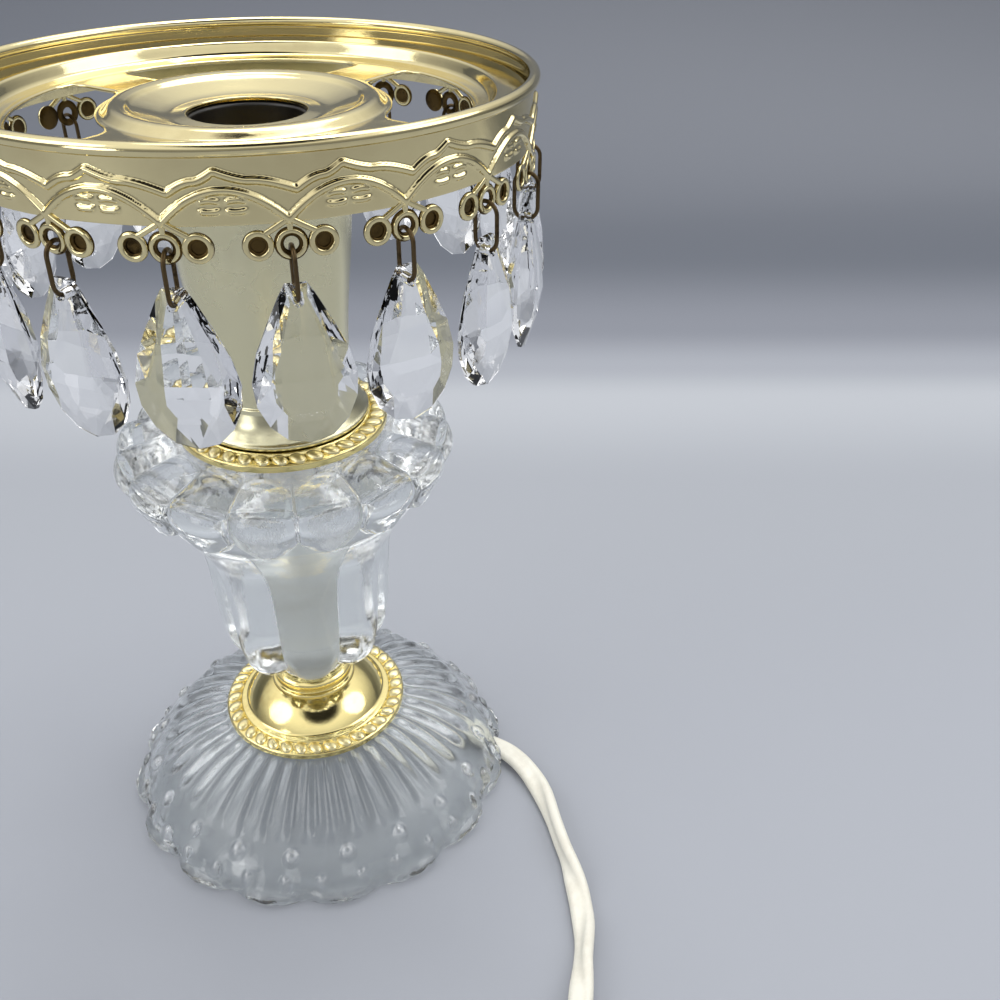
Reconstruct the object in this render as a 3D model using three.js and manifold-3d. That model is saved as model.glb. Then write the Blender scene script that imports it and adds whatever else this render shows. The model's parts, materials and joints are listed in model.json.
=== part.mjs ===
// Boudoir table lamp with a ring of hanging glass drops, in millimetres, +Z up.
// The origin is the middle of the foot's underside, on the table. The side seen from the front is -Y.
// From the table up: pressed glass foot, beaded brass cap, fluted glass column, second cap, brass husk,
// and the gallery ring that carries the drops and a shade, with a bulb socket in its middle.

import * as THREE from 'three';
import { mergeVertices } from 'three/addons/utils/BufferGeometryUtils.js';
import Module from 'manifold-3d';

const wasm = await Module();
wasm.setup();

const turn = 2 * Math.PI;
const degree = Math.PI / 180;

// Clearances
const seatGap = 0.3; // between pieces that rest on each other
const boreGap = 0.6; // round the pipe, in the glass and in the caps

// Glass foot
const footRadius = 62.3;
const footHeight = 29.4;
const footGlass = 4.4; // thickness at the top
const footRimWidth = 3.4;
const footScallops = 16;
const footScallopDepth = 2.2;
const footScallopTurn = 12.4 * degree; // where a notch between two scallops lies
const footRibs = 40;
const footRibTurn = 3.9 * degree; // where the middle of a rib lies
const footRibHeight = 0.75;
const footRibLean = 55 * degree; // of the direction in which the ribs stand out, above level
const footRibStart = 2.2; // from the cap's rim to where the ribs are full
const footRibEnd = 9.5; // from the foot's rim to where the ribs die out
const cordNotchWidth = 9.4;
const cordNotchHeight = 6.2;

// Beaded cap, used twice
const capRadius = 29.3;
const capSheet = 0.8;
const capDomeRadius = 23.9;
const capNeckRadius = 12.2;
const capDomeRise = 10.6;
const capRise = 16.6; // from the flange's lower face to the top of the neck ring
const beadRingInset = 2.4; // from the rim to the middle of the row of beads
const beadHeight = 2.3;

// Glass column
const columnHeight = 88.7;
const columnPetals = 16;
const columnTurn = -90 * degree; // where a groove between two petals lies
const columnTopRadius = 29;
const columnWaistRadius = 26;
const columnShoulderRadius = 48.4;
const columnBossRadius = 10.5;
const columnBossHeight = 5.6;
const columnFlutes = 8;
const fluteDepth = 3.5; // of the grooves down the stem
const petalHeight = 2.8; // of the shoulder's petals, above the glass between them
const petalTip = 69.9; // of a petal's round lower end, above the column's foot
const petalWide = 76; // where a petal reaches its full width, above the column's foot
const boreCore = 2; // radius of the core that the bore takes away
const boreSides = 16;

// Lamp pipe and the nuts on it
const pipeRadius = 6.4;
const pipeBore = 4.6;
const pipeBelowFoot = 9.4; // how far it stands out below the glass
const pipeIntoSocket = 7.2; // how far it stands into the socket's cap
const washerRadius = 23;
const washerThickness = 1.7;
const nutAcrossFlats = 19;
const nutThickness = 4.6;
const lockNutThickness = 3.6;

// Brass husk
const huskFootRadius = 24.3;
const huskWaistRadius = 19.7;
const huskTopRadius = 24.5;
const huskSheet = 0.7;
const huskFootSink = 12.9; // how far the husk's foot sits below the upper cap's neck ring
const huskHeight = 81.4;

// Gallery: the outer ring
const galleryRadius = 69.5;
const gallerySheet = 0.8;
const galleryWall = 15.7; // from the top of the rim bead to the lower edge
const rimBeadRadius = 1.5;

// Gallery: the eyelets under its edge, three to a group
const dropCount = 18;
const firstDrop = -85.5 * degree;
const eyeletDrop = 4.3; // from the wall's lower edge down to the middle of the eyelets
const eyeletPitch = 6.4;
const eyeletRadius = 3;
const eyeletHole = 1.7;
const sideHole = 1.6;
const eyeletSheet = 0.6;

// Gallery: the pan inside the ring, with four arms and a dished hub
const panLedgeHeight = 5.1; // below the gallery's top
const panLedgeInner = 60.2;
const panFloorDepth = 9; // below the gallery's top
const panFloorOuter = 58.6;
const panSheet = 0.8;
const openingOuter = 54.6;
const openingInner = 35;
const armCount = 4;
const armWidth = 15;
const hubRimRadius = 31.4;
const hubRimRise = 2.1; // above the pan's floor
const hubSeatDrop = 0.2; // of the dish where it rests on the husk, below the pan's floor
const hubMouthDrop = 1.4; // of the hub's inner edge, below the pan's floor

// Socket
const socketRadius = 16.4;
const socketBore = 13.9;
const socketFloor = 3;
const socketLowerRoom = 5; // height of the wiring room below the socket's floor
const rivetHole = 1.5;
const capCupHeight = 12.4;
const capHubHeight = 4;
const capHubRadius = 8.6;
const shellThickness = 0.4;
const shellLift = 1.2; // of the threaded shell above the socket's floor
const shellDown = 7.2; // from the socket's mouth down to the shell's edge
const threadTurns = 4;
const threadPitch = 3.6;
const threadDepth = 0.5;

// Hanging drops and the wire rings that carry them
const wireRadius = 0.42;
const wireRest = 0.8; // from the eyelet's lower edge up to the wire
const linkHalfWidth = 2.85;
const linkDrop = 11.2; // from the wire in the eyelet to the wire in the glass
const dropLength = 36.4;
const dropSpace = 1.08; // half the space between two drops at their widest
const dropThickness = 8;
const dropHole = 1.2;
const dropHoleDepth = 3.2; // from the drop's tip to the middle of its hole
const dropSlack = 0.25; // of the wire in the drop's hole

// Flat twin cord
const cordWidth = 7;
const cordThickness = 3.5;
const cordLength = 1800; // from the foot to the plug
const tableGap = 0.05; // what lies on the table stays clear of it by this much

// Coil, wound on edge in two layers
const coilRadius = 44.8;
const coilTurns = 6.444;
const coilDip = 3.6; // how far the turn that climbs to the second layer keeps inside the others
const coilLayerPitch = 7.8;
const coilSteps = 24; // to a turn

// In-line switch
const switchLength = 58;
const switchWidth = 21;
const switchShell = 6.8; // height of each half
const switchWall = 2;
const wheelRadius = 9.2;
const wheelThickness = 4.2;
const wheelStandsOut = 2.1;
const wheelGap = 0.5;
const wheelHole = 2.3;
const wheelRibs = 24;

// Plug
const plugLength = 24;
const plugWidth = 21;
const plugThickness = 11;
const bladePitch = 12.7;
const bladeLength = 17.5;
const bladeWidth = 6.3;
const bladeThickness = 1.5;
const bladeSeat = 4; // how deep a blade stands in the plug

// Heights that follow from the sizes above
const lowerCapBase = footHeight + seatGap;
const columnBase = lowerCapBase + capRise + seatGap;
const columnTop = columnBase + columnHeight;
const upperCapBase = columnTop + seatGap;
const upperCapTop = upperCapBase + capRise;
const lockNutBase = upperCapTop + seatGap;
const socketCapBase = lockNutBase + lockNutThickness + seatGap;
const socketBase = socketCapBase + capCupHeight + seatGap;
const huskBase = upperCapTop - huskFootSink;
const huskTop = huskBase + huskHeight;
const galleryFloor = huskTop + seatGap + panSheet + hubSeatDrop;
const galleryTop = galleryFloor + panFloorDepth;
const galleryLow = galleryTop - galleryWall;
const hubMouth = galleryFloor - hubMouthDrop;
const socketTop = hubMouth - panSheet - seatGap;
const socketFloorTop = socketBase + socketLowerRoom + socketFloor;
const eyeletHeight = galleryLow - eyeletDrop;
const wireHeight = eyeletHeight - eyeletHole + wireRest + wireRadius;
const dropHoleHeight = wireHeight - linkDrop + dropSlack;
const dropRadius = galleryRadius - gallerySheet / 2;
const dropHalfWidth = dropRadius * Math.tan(Math.PI / dropCount) - dropSpace;
const switchMiddleHeight = switchShell + seatGap / 2;
const pipeTop = socketCapBase + pipeIntoSocket;
const pipeBottom = footHeight - footGlass - pipeBelowFoot;

// Materials
function finish(color, roughness, metalness) {
  return new THREE.MeshStandardMaterial({ color, roughness, metalness });
}

function clearGlass(color) {
  const glass = finish(color, 0.06, 0);
  glass.transparent = true;
  glass.opacity = 0.45;
  return glass;
}

const finishes = {
  foot: clearGlass(0xdfe6e4),
  column: clearGlass(0xdce8e6),
  crystal: clearGlass(0xf0f2f2),
  brass: finish(0xd9b45a, 0.16, 1),
  paleBrass: finish(0xc9bf86, 0.3, 1),
  steel: finish(0x9a9a96, 0.4, 1),
  phenolic: finish(0x0d0c0c, 0.35, 0),
  bronze: finish(0x6a5232, 0.4, 1),
  whiteCord: finish(0xe9e6da, 0.55, 0),
  whitePlastic: finish(0xeceae2, 0.4, 0),
};

// Closed geometry with shared corners
function tidy(geometry) {
  const plain = geometry.clone();
  plain.deleteAttribute('normal');
  plain.deleteAttribute('uv');
  return mergeVertices(plain, 1e-4);
}

// A profile of [radius, height] corners, up the outside and down the inside, turned about +Z
function turned(profile, columns) {
  const points = profile.map(([r, z]) => new THREE.Vector2(r, z));
  const first = profile[0];
  const last = profile[profile.length - 1];
  if (first[0] > 0 || last[0] > 0) {
    points.push(new THREE.Vector2(first[0], first[1]));
  }
  return tidy(new THREE.LatheGeometry(points, columns).rotateX(Math.PI / 2));
}

// Moves every corner by a rule in polar coordinates
function reshaped(geometry, rule) {
  const place = geometry.getAttribute('position');
  for (let i = 0; i < place.count; i++) {
    const r = Math.hypot(place.getX(i), place.getY(i));
    const angle = Math.atan2(place.getY(i), place.getX(i));
    const [newR, newZ] = rule(r, angle, place.getZ(i));
    place.setXYZ(i, newR * Math.cos(angle), newR * Math.sin(angle), newZ);
  }
  return geometry;
}

function toSolid(geometry) {
  const merged = tidy(geometry);
  const vertProperties = new Float32Array(merged.getAttribute('position').array);
  const triVerts = new Uint32Array(merged.index.array);
  return new wasm.Manifold(new wasm.Mesh({ numProp: 3, vertProperties, triVerts }));
}

function fromSolid(solid) {
  const mesh = solid.getMesh();
  const geometry = new THREE.BufferGeometry();
  geometry.setAttribute('position', new THREE.BufferAttribute(mesh.vertProperties, 3));
  geometry.setIndex(new THREE.BufferAttribute(mesh.triVerts, 1));
  return geometry;
}

function cut(geometry, cutters) {
  return fromSolid(cutters.reduce((solid, c) => solid.subtract(toSolid(c)), toSolid(geometry)));
}

function joined(geometry, others) {
  return fromSolid(others.reduce((solid, o) => solid.add(toSolid(o)), toSolid(geometry)));
}

function shapeOf(corners) {
  return new THREE.Shape(corners.map(([x, y]) => new THREE.Vector2(x, y)));
}

function ringOf(x, y, radius, corners, start = 0) {
  return Array.from({ length: corners }, (_, i) => {
    const a = start + (turn * i) / corners;
    return [x + radius * Math.cos(a), y + radius * Math.sin(a)];
  });
}

function plate(shape, thickness) {
  return new THREE.ExtrudeGeometry(shape, { depth: thickness, bevelEnabled: false });
}

function box(size, centre) {
  return new THREE.BoxGeometry(...size).translate(...centre);
}

function smooth(a, b, x) {
  const t = Math.min(Math.max((x - a) / (b - a), 0), 1);
  return t * t * (3 - 2 * t);
}

const lamp = new THREE.Group();

function add(name, geometry, material, place = lamp) {
  const mesh = new THREE.Mesh(tidy(geometry), material);
  mesh.name = name;
  place.add(mesh);
  return mesh;
}

// A round cutter for the bore, from low to high
function boreCutter(low, high) {
  const radius = pipeRadius + boreGap;
  const cutter = new THREE.CylinderGeometry(radius, radius, high - low, boreSides);
  return cutter.rotateX(Math.PI / 2).translate(0, 0, (low + high) / 2);
}

// Share of one copy, from -0.5 to 0.5, between an angle and the nearest of copies set evenly round the axis
function shareOfTurn(angle, count, start) {
  const share = ((angle - start) * count) / turn;
  return share - Math.round(share);
}

// Glass foot: a pressed dome, hollow below, whose lip is scalloped and whose slope is ribbed
function footGeometry() {
  const under = footHeight - footGlass;
  const inner = footRadius - 0.7 - footRimWidth;
  const ribStart = capRadius + footRibStart;
  const ribEnd = footRadius - footRibEnd;
  const dome = turned(
    [
      [boreCore, 0],
      [footRadius - 0.7, 0],
      [footRadius, 2.6],
      [footRadius - 2, 6.4],
      [footRadius - 6.6, 12.8],
      [ribEnd, 15.7],
      [footRadius - 13.4, 19.6],
      [footRadius - 22.4, 25.6],
      [ribStart, footHeight - 0.7],
      [capRadius - 2, footHeight],
      [boreCore, footHeight],
    ],
    footRibs * 2,
  );
  const pressed = reshaped(dome, (r, angle, z) => {
    const phase = ((angle - footScallopTurn) * footScallops) / turn;
    const notch = 1 - Math.abs(Math.sin(Math.PI * phase));
    const near = smooth(inner + 0.6, footRadius - 0.8, r) * (1 - smooth(4, 15, z));
    const ribbed = smooth(capRadius - 1, ribStart, r) * (1 - smooth(ribEnd - 3.5, ribEnd, r));
    const rib = footRibHeight * ribbed * Math.cos(turn * shareOfTurn(angle, footRibs, footRibTurn));
    return [
      r - footScallopDepth * notch * near + rib * Math.cos(footRibLean),
      z + rib * Math.sin(footRibLean),
    ];
  });
  const hollow = turned(
    [
      [boreCore, -1],
      [inner, -1],
      [inner, 0],
      [footRadius - 7.8, under - 18],
      [footRadius - 14.8, under - 10.4],
      [36, under - 3.6],
      [25, under],
      [boreCore, under],
    ],
    32,
  );
  const notch = box([26, cordNotchWidth, cordNotchHeight * 2], [0, 0, 0]);
  notch.rotateZ(exitHeading).translate(exitPoint.x, exitPoint.y, 0);
  return cut(pressed, [hollow, boreCutter(-2, footHeight + 1), notch]);
}

// Beaded cap of thin sheet: flange, row of beads, dome, neck ring
function capGeometry() {
  const hole = pipeRadius + boreGap;
  const s = capSheet;
  const beads = capRadius - beadRingInset;
  return turned(
    [
      [capRadius - s, 0],
      [capRadius, 0],
      [capRadius, 1.1],
      [beads, beadHeight],
      [capDomeRadius + 0.8, 1.6],
      [capDomeRadius, 2.5],
      [capDomeRadius - 2.6, 6.6],
      [capNeckRadius + 4.6, capDomeRise - 1.4],
      [capNeckRadius, capDomeRise],
      [capNeckRadius, capRise],
      [hole, capRise],
      [hole, capRise - s],
      [capNeckRadius - s, capRise - s],
      [capNeckRadius - s, capDomeRise - s],
      [capDomeRadius - 3.4, 6.2],
      [capDomeRadius - 0.6, 1.6],
      [capDomeRadius + 0.8, 0.8],
    ],
    28,
  );
}

// Glass column: a turned vase whose shoulder carries sixteen petals and whose stem has eight grooves
function columnGeometry() {
  const waist = columnWaistRadius;
  const body = columnShoulderRadius - petalHeight;
  const vase = turned(
    [
      [boreCore, 0],
      [columnBossRadius, 0],
      [columnBossRadius + 0.6, columnBossHeight],
      [waist - 6, columnBossHeight + 2.4],
      [waist - 2.2, columnBossHeight + 5.6],
      [waist, columnBossHeight + 13.4],
      [waist + 1.2, columnBossHeight + 30.4],
      [waist + 1.8, columnBossHeight + 40.4],
      [waist + 3.6, columnBossHeight + 47.8],
      [waist + 10, columnBossHeight + 58.8],
      [waist + 13.8, petalTip],
      [waist + 16.4, petalWide],
      [body, columnHeight - 5.3],
      [body - 1.4, columnHeight - 3.4],
      [body - 8, columnHeight - 1.8],
      [columnTopRadius, columnHeight],
      [boreCore, columnHeight],
    ],
    columnPetals * 4,
  );
  const grooveTop = columnBossHeight + 30;
  const pressed = reshaped(vase, (r, angle, z) => {
    const petal = shareOfTurn(angle, columnPetals, columnTurn + Math.PI / columnPetals);
    const width = 0.5 * Math.sqrt(Math.max((z - petalTip) / (petalWide - petalTip), 0.001));
    const swell = Math.sqrt(Math.max(1 - (petal / Math.min(width, 0.5)) ** 2, 0));
    const onShoulder = smooth(columnTopRadius + 1, columnTopRadius + 9, r);
    const out = petalHeight * swell * onShoulder * smooth(petalTip - 0.5, petalTip + 3, z);
    const upward = (smooth(columnHeight - 6, columnHeight - 1.5, z) * Math.PI) / 2;
    const fromGroove = shareOfTurn(angle, columnFlutes, columnTurn + Math.PI / columnFlutes);
    const flute = Math.abs(Math.sin(Math.PI * fromGroove));
    const inStem = smooth(columnBossRadius + 2, waist - 5, r) * (1 - smooth(grooveTop, grooveTop + 22, z));
    const sunk = fluteDepth * inStem * (1 - flute);
    return [r + out * Math.cos(upward) - sunk, z + Math.min(out * Math.sin(upward), columnHeight - z)];
  });
  return cut(pressed, [boreCutter(-1, columnHeight + 1)]);
}

function tubeProfile(inner, outer, low, high) {
  return [
    [inner, low],
    [outer, low],
    [outer, high],
    [inner, high],
  ];
}

function nutGeometry(thickness) {
  const nut = shapeOf(ringOf(0, 0, nutAcrossFlats / Math.sqrt(3), 6));
  nut.holes.push(new THREE.Path(shapeOf(ringOf(0, 0, pipeRadius + 0.3, 16)).getPoints()));
  return plate(nut, thickness);
}

// Husk: a thin tube that stands on a small flared foot and widens towards the gallery
function huskGeometry() {
  const s = huskSheet;
  const outline = [
    [huskFootRadius, 0],
    [huskFootRadius - 0.4, 1.3],
    [huskWaistRadius + 1.3, 5.4],
    [huskWaistRadius, 10.4],
    [huskWaistRadius + 0.5, 27],
    [huskWaistRadius + 2.7, 45.4],
    [huskTopRadius - 0.5, 62],
    [huskTopRadius, huskHeight],
  ];
  const inside = outline.map(([r, z]) => [r - s, z]).reverse();
  return turned([...outline, ...inside], 20);
}

// Gallery ring: a wall with a beaded rim, and groups of three eyelets under its edge
function galleryRingGeometry() {
  const inner = galleryRadius - gallerySheet;
  const bead = [-40, 0, 45, 90, 140].map((a) => [
    galleryRadius - 0.3 + rimBeadRadius * Math.cos(a * degree),
    galleryTop - rimBeadRadius + rimBeadRadius * Math.sin(a * degree),
  ]);
  const foot = [
    [inner, galleryLow],
    [galleryRadius, galleryLow],
  ];
  const neck = galleryTop - 2 * rimBeadRadius - 0.1;
  const wall = turned([...foot, [galleryRadius, neck], ...bead, [inner, neck]], 36);
  const groups = Array.from({ length: dropCount }, (_, i) => eyeletGroup(dropAngle(i)));
  return joined(wall, groups);
}

function dropAngle(i) {
  return firstDrop + (turn * i) / dropCount;
}

// Three eyelets in a row, on a tab that runs up into the wall, bent to the wall's curve
function eyeletGroup(angle) {
  const p = eyeletPitch;
  const r = eyeletRadius;
  const tab = eyeletDrop + 0.7;
  const right = [
    [p / 2, -r * 0.34],
    [p - r * 0.45, -r * 0.9],
    [p + r * 0.5, -r * 0.88],
    [p + r, 0],
    [p + r * 0.8, r * 0.8],
    [p - 0.9, tab],
  ];
  const left = right.map(([x, z]) => [-x, z]).reverse();
  const tip = [
    [-r * 0.5, -r * 0.9],
    [r * 0.5, -r * 0.9],
  ];
  const outline = shapeOf([...left, ...tip, ...right]);
  const holes = [
    ringOf(0, 0, eyeletHole, 8, turn / 16),
    ringOf(-p, 0, sideHole, 5, turn / 4),
    ringOf(p, 0, sideHole, 5, turn / 4),
  ];
  for (const hole of holes) {
    outline.holes.push(new THREE.Path(shapeOf(hole).getPoints()));
  }
  const flat = tidy(plate(outline, eyeletSheet));
  const middle = dropRadius;
  const place = flat.getAttribute('position');
  for (let i = 0; i < place.count; i++) {
    const along = angle + place.getX(i) / middle;
    const radius = middle + place.getZ(i) - eyeletSheet / 2;
    const height = eyeletHeight + place.getY(i);
    place.setXYZ(i, radius * Math.cos(along), radius * Math.sin(along), height);
  }
  return flat;
}

// Pan: a ledge for a shade, a floor with four openings, and a dished hub round the socket
function galleryPanGeometry() {
  const s = panSheet;
  const ledge = galleryTop - panLedgeHeight;
  const outer = galleryRadius - gallerySheet - seatGap;
  const mouth = socketBore + 0.4;
  const pan = turned(
    [
      [mouth, hubMouth - s],
      [huskTopRadius, galleryFloor - hubSeatDrop - s],
      [hubRimRadius - 4, galleryFloor + hubRimRise - 0.9 - s],
      [hubRimRadius - s, galleryFloor + hubRimRise - s],
      [hubRimRadius + 2, galleryFloor - s],
      [panFloorOuter + s, galleryFloor - s],
      [panLedgeInner + s, ledge - s],
      [outer, ledge - s],
      [outer, ledge],
      [panLedgeInner, ledge],
      [panFloorOuter, galleryFloor + 0.6],
      [openingOuter + 1, galleryFloor],
      [hubRimRadius + 2.4, galleryFloor],
      [hubRimRadius, galleryFloor + hubRimRise],
      [hubRimRadius - 3.6, galleryFloor + hubRimRise - 0.9],
      [huskTopRadius, galleryFloor - hubSeatDrop],
      [mouth, hubMouth],
    ],
    30,
  );
  const openings = Array.from({ length: armCount }, (_, i) => openingCutter((turn * i) / armCount));
  return cut(pan, openings);
}

// One opening between two arms: a sector whose straight sides run beside the arms
function openingCutter(middle) {
  const half = turn / armCount / 2;
  const arc = (radius, from, to) => {
    const spread = half - Math.asin(armWidth / 2 / radius);
    return Array.from({ length: 7 }, (_, k) => {
      const a = middle + spread * (from + ((to - from) * k) / 6);
      return [radius * Math.cos(a), radius * Math.sin(a)];
    });
  };
  const shape = shapeOf([...arc(openingOuter, -1, 1), ...arc(openingInner, 1, -1)]);
  return plate(shape, 20).translate(0, 0, galleryFloor - 10);
}

// Socket: black body with a deep bore, a brass cap below it, and the threaded shell inside
function socketBodyGeometry() {
  const floor = socketFloorTop;
  return turned(
    [
      [socketBore - 0.9, socketBase],
      [socketRadius, socketBase],
      [socketRadius, socketTop - 0.8],
      [socketBore + 0.6, socketTop],
      [socketBore, socketTop - 0.4],
      [socketBore, floor],
      [rivetHole, floor],
      [rivetHole, floor - socketFloor],
      [socketBore - 0.9, floor - socketFloor],
    ],
    20,
  );
}

function socketCapGeometry() {
  const s = 0.8;
  const hub = pipeRadius + 0.3;
  const cupBase = socketCapBase + capHubHeight;
  const cupTop = socketBase - seatGap;
  return turned(
    [
      [hub, socketCapBase],
      [capHubRadius, socketCapBase],
      [capHubRadius, cupBase],
      [socketRadius - 2, cupBase + 1],
      [socketRadius, cupBase + 4],
      [socketRadius, cupTop],
      [socketRadius - s, cupTop],
      [socketRadius - s, cupBase + 4.4],
      [socketRadius - 2.4, cupBase + 1 + s],
      [hub, cupBase + 1 + s],
    ],
    16,
  );
}

function screwShellGeometry() {
  const low = socketFloorTop + shellLift;
  const high = socketTop - shellDown;
  const outer = socketBore - seatGap;
  const thread = Array.from({ length: threadTurns * 2 + 1 }, (_, k) => [
    outer - (k % 2 ? threadDepth : 0),
    high - 1.5 - ((threadTurns * 2 - k) * threadPitch) / 2,
  ]);
  const outside = [[outer, low], ...thread, [outer, high]];
  const inside = outside.map(([r, z]) => [r - shellThickness, z]).reverse();
  inside[inside.length - 1] = [outer - shellThickness, low + shellThickness];
  const flange = [
    [outer - 6, low + shellThickness],
    [outer - 6, low],
  ];
  return turned([...outside, ...inside, ...flange], 12);
}

function centreContactGeometry() {
  const floor = socketFloorTop;
  const under = floor - socketFloor;
  return turned(
    [
      [0, under - 1.2],
      [2.6, under - 1.2],
      [2.6, under - 0.3],
      [rivetHole - 0.3, under - 0.3],
      [rivetHole - 0.3, floor + 0.3],
      [3.4, floor + 0.5],
      [2.6, floor + 2.2],
      [0, floor + 2.6],
    ],
    12,
  );
}

// Wire ring: an oval that stands upright and points outwards, through the eyelet and the glass
function linkGeometry() {
  const a = linkHalfWidth;
  const low = -linkDrop + a;
  const arc = (z, start) =>
    Array.from({ length: 5 }, (_, k) => {
      const t = start + (Math.PI * k) / 4;
      return new THREE.Vector3(a * Math.cos(t), 0, z + a * Math.sin(t));
    });
  const oval = new THREE.CatmullRomCurve3([...arc(-a, 0), ...arc(low, Math.PI)], true);
  oval.getPointAt = (u) => oval.getPoint(u);
  oval.getTangentAt = (u) => oval.getTangent(u);
  return new THREE.TubeGeometry(oval, 10, wireRadius, 4, true);
}

// Glass drop: an almond with a flat table on each face and a thin edge, hung by a hole at its tip
function dropGeometry() {
  const w = dropHalfWidth;
  const l = dropLength;
  const right = [
    [w * 0.22, 0],
    [w * 0.46, -l * 0.15],
    [w * 0.8, -l * 0.32],
    [w, -l * 0.49],
    [w * 0.93, -l * 0.66],
    [w * 0.6, -l * 0.87],
  ];
  const left = right.map(([x, z]) => [-x, z]).reverse();
  const edge = [...right, [0, -l], ...left];
  const table = edge.map(([x, z]) => [x * 0.52, -l * 0.52 + (z + l * 0.52) * 0.62]);
  const half = dropThickness / 2;
  const layers = [
    [table, -half],
    [edge, 0],
    [table, half],
  ];
  const corners = layers.flatMap(([ring, y]) => ring.map(([x, z]) => [x, y, z]).flat());
  const n = edge.length;
  const faces = [];
  for (let layer = 0; layer < 2; layer++) {
    for (let i = 0; i < n; i++) {
      const a = layer * n + i;
      const b = layer * n + ((i + 1) % n);
      faces.push(a, b, a + n, b, b + n, a + n);
    }
  }
  for (let i = 1; i < n - 1; i++) {
    faces.push(0, i + 1, i, 2 * n, 2 * n + i, 2 * n + i + 1);
  }
  const almond = new THREE.BufferGeometry();
  almond.setAttribute('position', new THREE.Float32BufferAttribute(corners, 3));
  almond.setIndex(faces);
  const drill = new THREE.CylinderGeometry(dropHole, dropHole, dropThickness * 2, 8);
  return cut(almond, [drill.translate(0, 0, -dropHoleDepth)]);
}

// Cord: a section of two flat-sided leads side by side, carried along stations that hold its axes
class StationPath extends THREE.Curve {
  constructor(stations) {
    super();
    this.stations = stations;
  }

  getPoint(t, target = new THREE.Vector3()) {
    const last = this.stations.length - 1;
    return target.copy(this.stations[Math.round(t * last)].point);
  }

  getSpacedPoints() {
    return this.stations.map((s) => s.point);
  }

  computeFrenetFrames() {
    return {
      tangents: this.stations.map((s) => s.tangent),
      normals: this.stations.map((s) => s.across),
      binormals: this.stations.map((s) => s.tangent.clone().cross(s.across)),
    };
  }
}

function cordSection(sides) {
  const w = cordWidth / 2;
  const t = cordThickness / 2;
  const six = [
    [w, 0],
    [w * 0.6, t],
    [-w * 0.6, t],
    [-w, 0],
    [-w * 0.6, -t],
    [w * 0.6, -t],
  ];
  const eight = [
    [w, t * 0.5],
    [w * 0.7, t],
    [-w * 0.7, t],
    [-w, t * 0.5],
    [-w, -t * 0.5],
    [-w * 0.7, -t],
    [w * 0.7, -t],
    [w, -t * 0.5],
  ];
  return shapeOf(sides === 6 ? six : eight);
}

function cordAlong(stations, sides) {
  const path = new StationPath(stations);
  const options = { steps: stations.length - 1, extrudePath: path, bevelEnabled: false };
  return new THREE.ExtrudeGeometry(cordSection(sides), options);
}

// The section's width lies level, turned up by a roll angle
function levelStation(point, tangent, roll) {
  const side = new THREE.Vector3(0, 0, 1).cross(tangent).normalize();
  const lift = tangent.clone().cross(side);
  const across = side.clone().multiplyScalar(Math.cos(roll)).addScaledVector(lift, Math.sin(roll));
  return { point, tangent, across };
}

const exitPoint = new THREE.Vector3(58.4, -9.5, 3);
const exitHeading = -43 * degree;

// Where the cord lies on the table, from the foot to the switch
const freeRoute = [
  [58.4, -9.5],
  [62.6, -13.6],
  [66.4, -19.6],
  [69.2, -27.4],
  [70.6, -36],
  [71, -45],
  [71.2, -56],
  [71.6, -67],
  [71.2, -78],
  [69, -90],
  [65.7, -99.6],
  [62.2, -109.3],
  [58.4, -119.8],
  [57.4, -122.5],
];

// How far the cord is rolled onto its edge, by its distance from the foot
function cordRoll(s) {
  const first = smooth(14, 44, s) * (1 - smooth(54, 74, s));
  const second = smooth(72, 90, s) * (1 - smooth(92, 108, s));
  return 75 * degree * first + 55 * degree * second;
}

// Height of the cord's middle when it lies on the table, rolled by an angle
function restHeight(roll) {
  const half = [cordWidth / 2, cordThickness / 2];
  const onSide = half[0] * Math.sin(roll) + 0.5 * half[1] * Math.cos(roll);
  const onFlat = 0.7 * half[0] * Math.sin(roll) + half[1] * Math.cos(roll);
  return Math.max(onSide, onFlat) + tableGap;
}

function freeCordStations() {
  const plan = new THREE.CatmullRomCurve3(freeRoute.map(([x, y]) => new THREE.Vector3(x, y, 0)));
  const steps = 18;
  const length = plan.getLength();
  const stations = [];
  for (let i = 0; i <= steps; i++) {
    const s = (length * i) / steps;
    const roll = cordRoll(s);
    const leaving = 1 - smooth(8, 34, s);
    const arriving = smooth(length - 34, length - 3, s);
    const point = plan.getPointAt(i / steps);
    const lying = restHeight(roll);
    point.z = lying + (exitPoint.z - lying) * leaving + (switchMiddleHeight - lying) * arriving;
    stations.push(levelStation(point, plan.getTangentAt(i / steps), roll));
  }
  stations[0] = levelStation(exitPoint, headingOf(exitHeading), 0);
  stations[steps] = levelStation(stations[steps].point, switchAlong.clone(), 0);
  return stations;
}

function headingOf(angle) {
  return new THREE.Vector3(Math.cos(angle), Math.sin(angle), 0);
}

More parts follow.
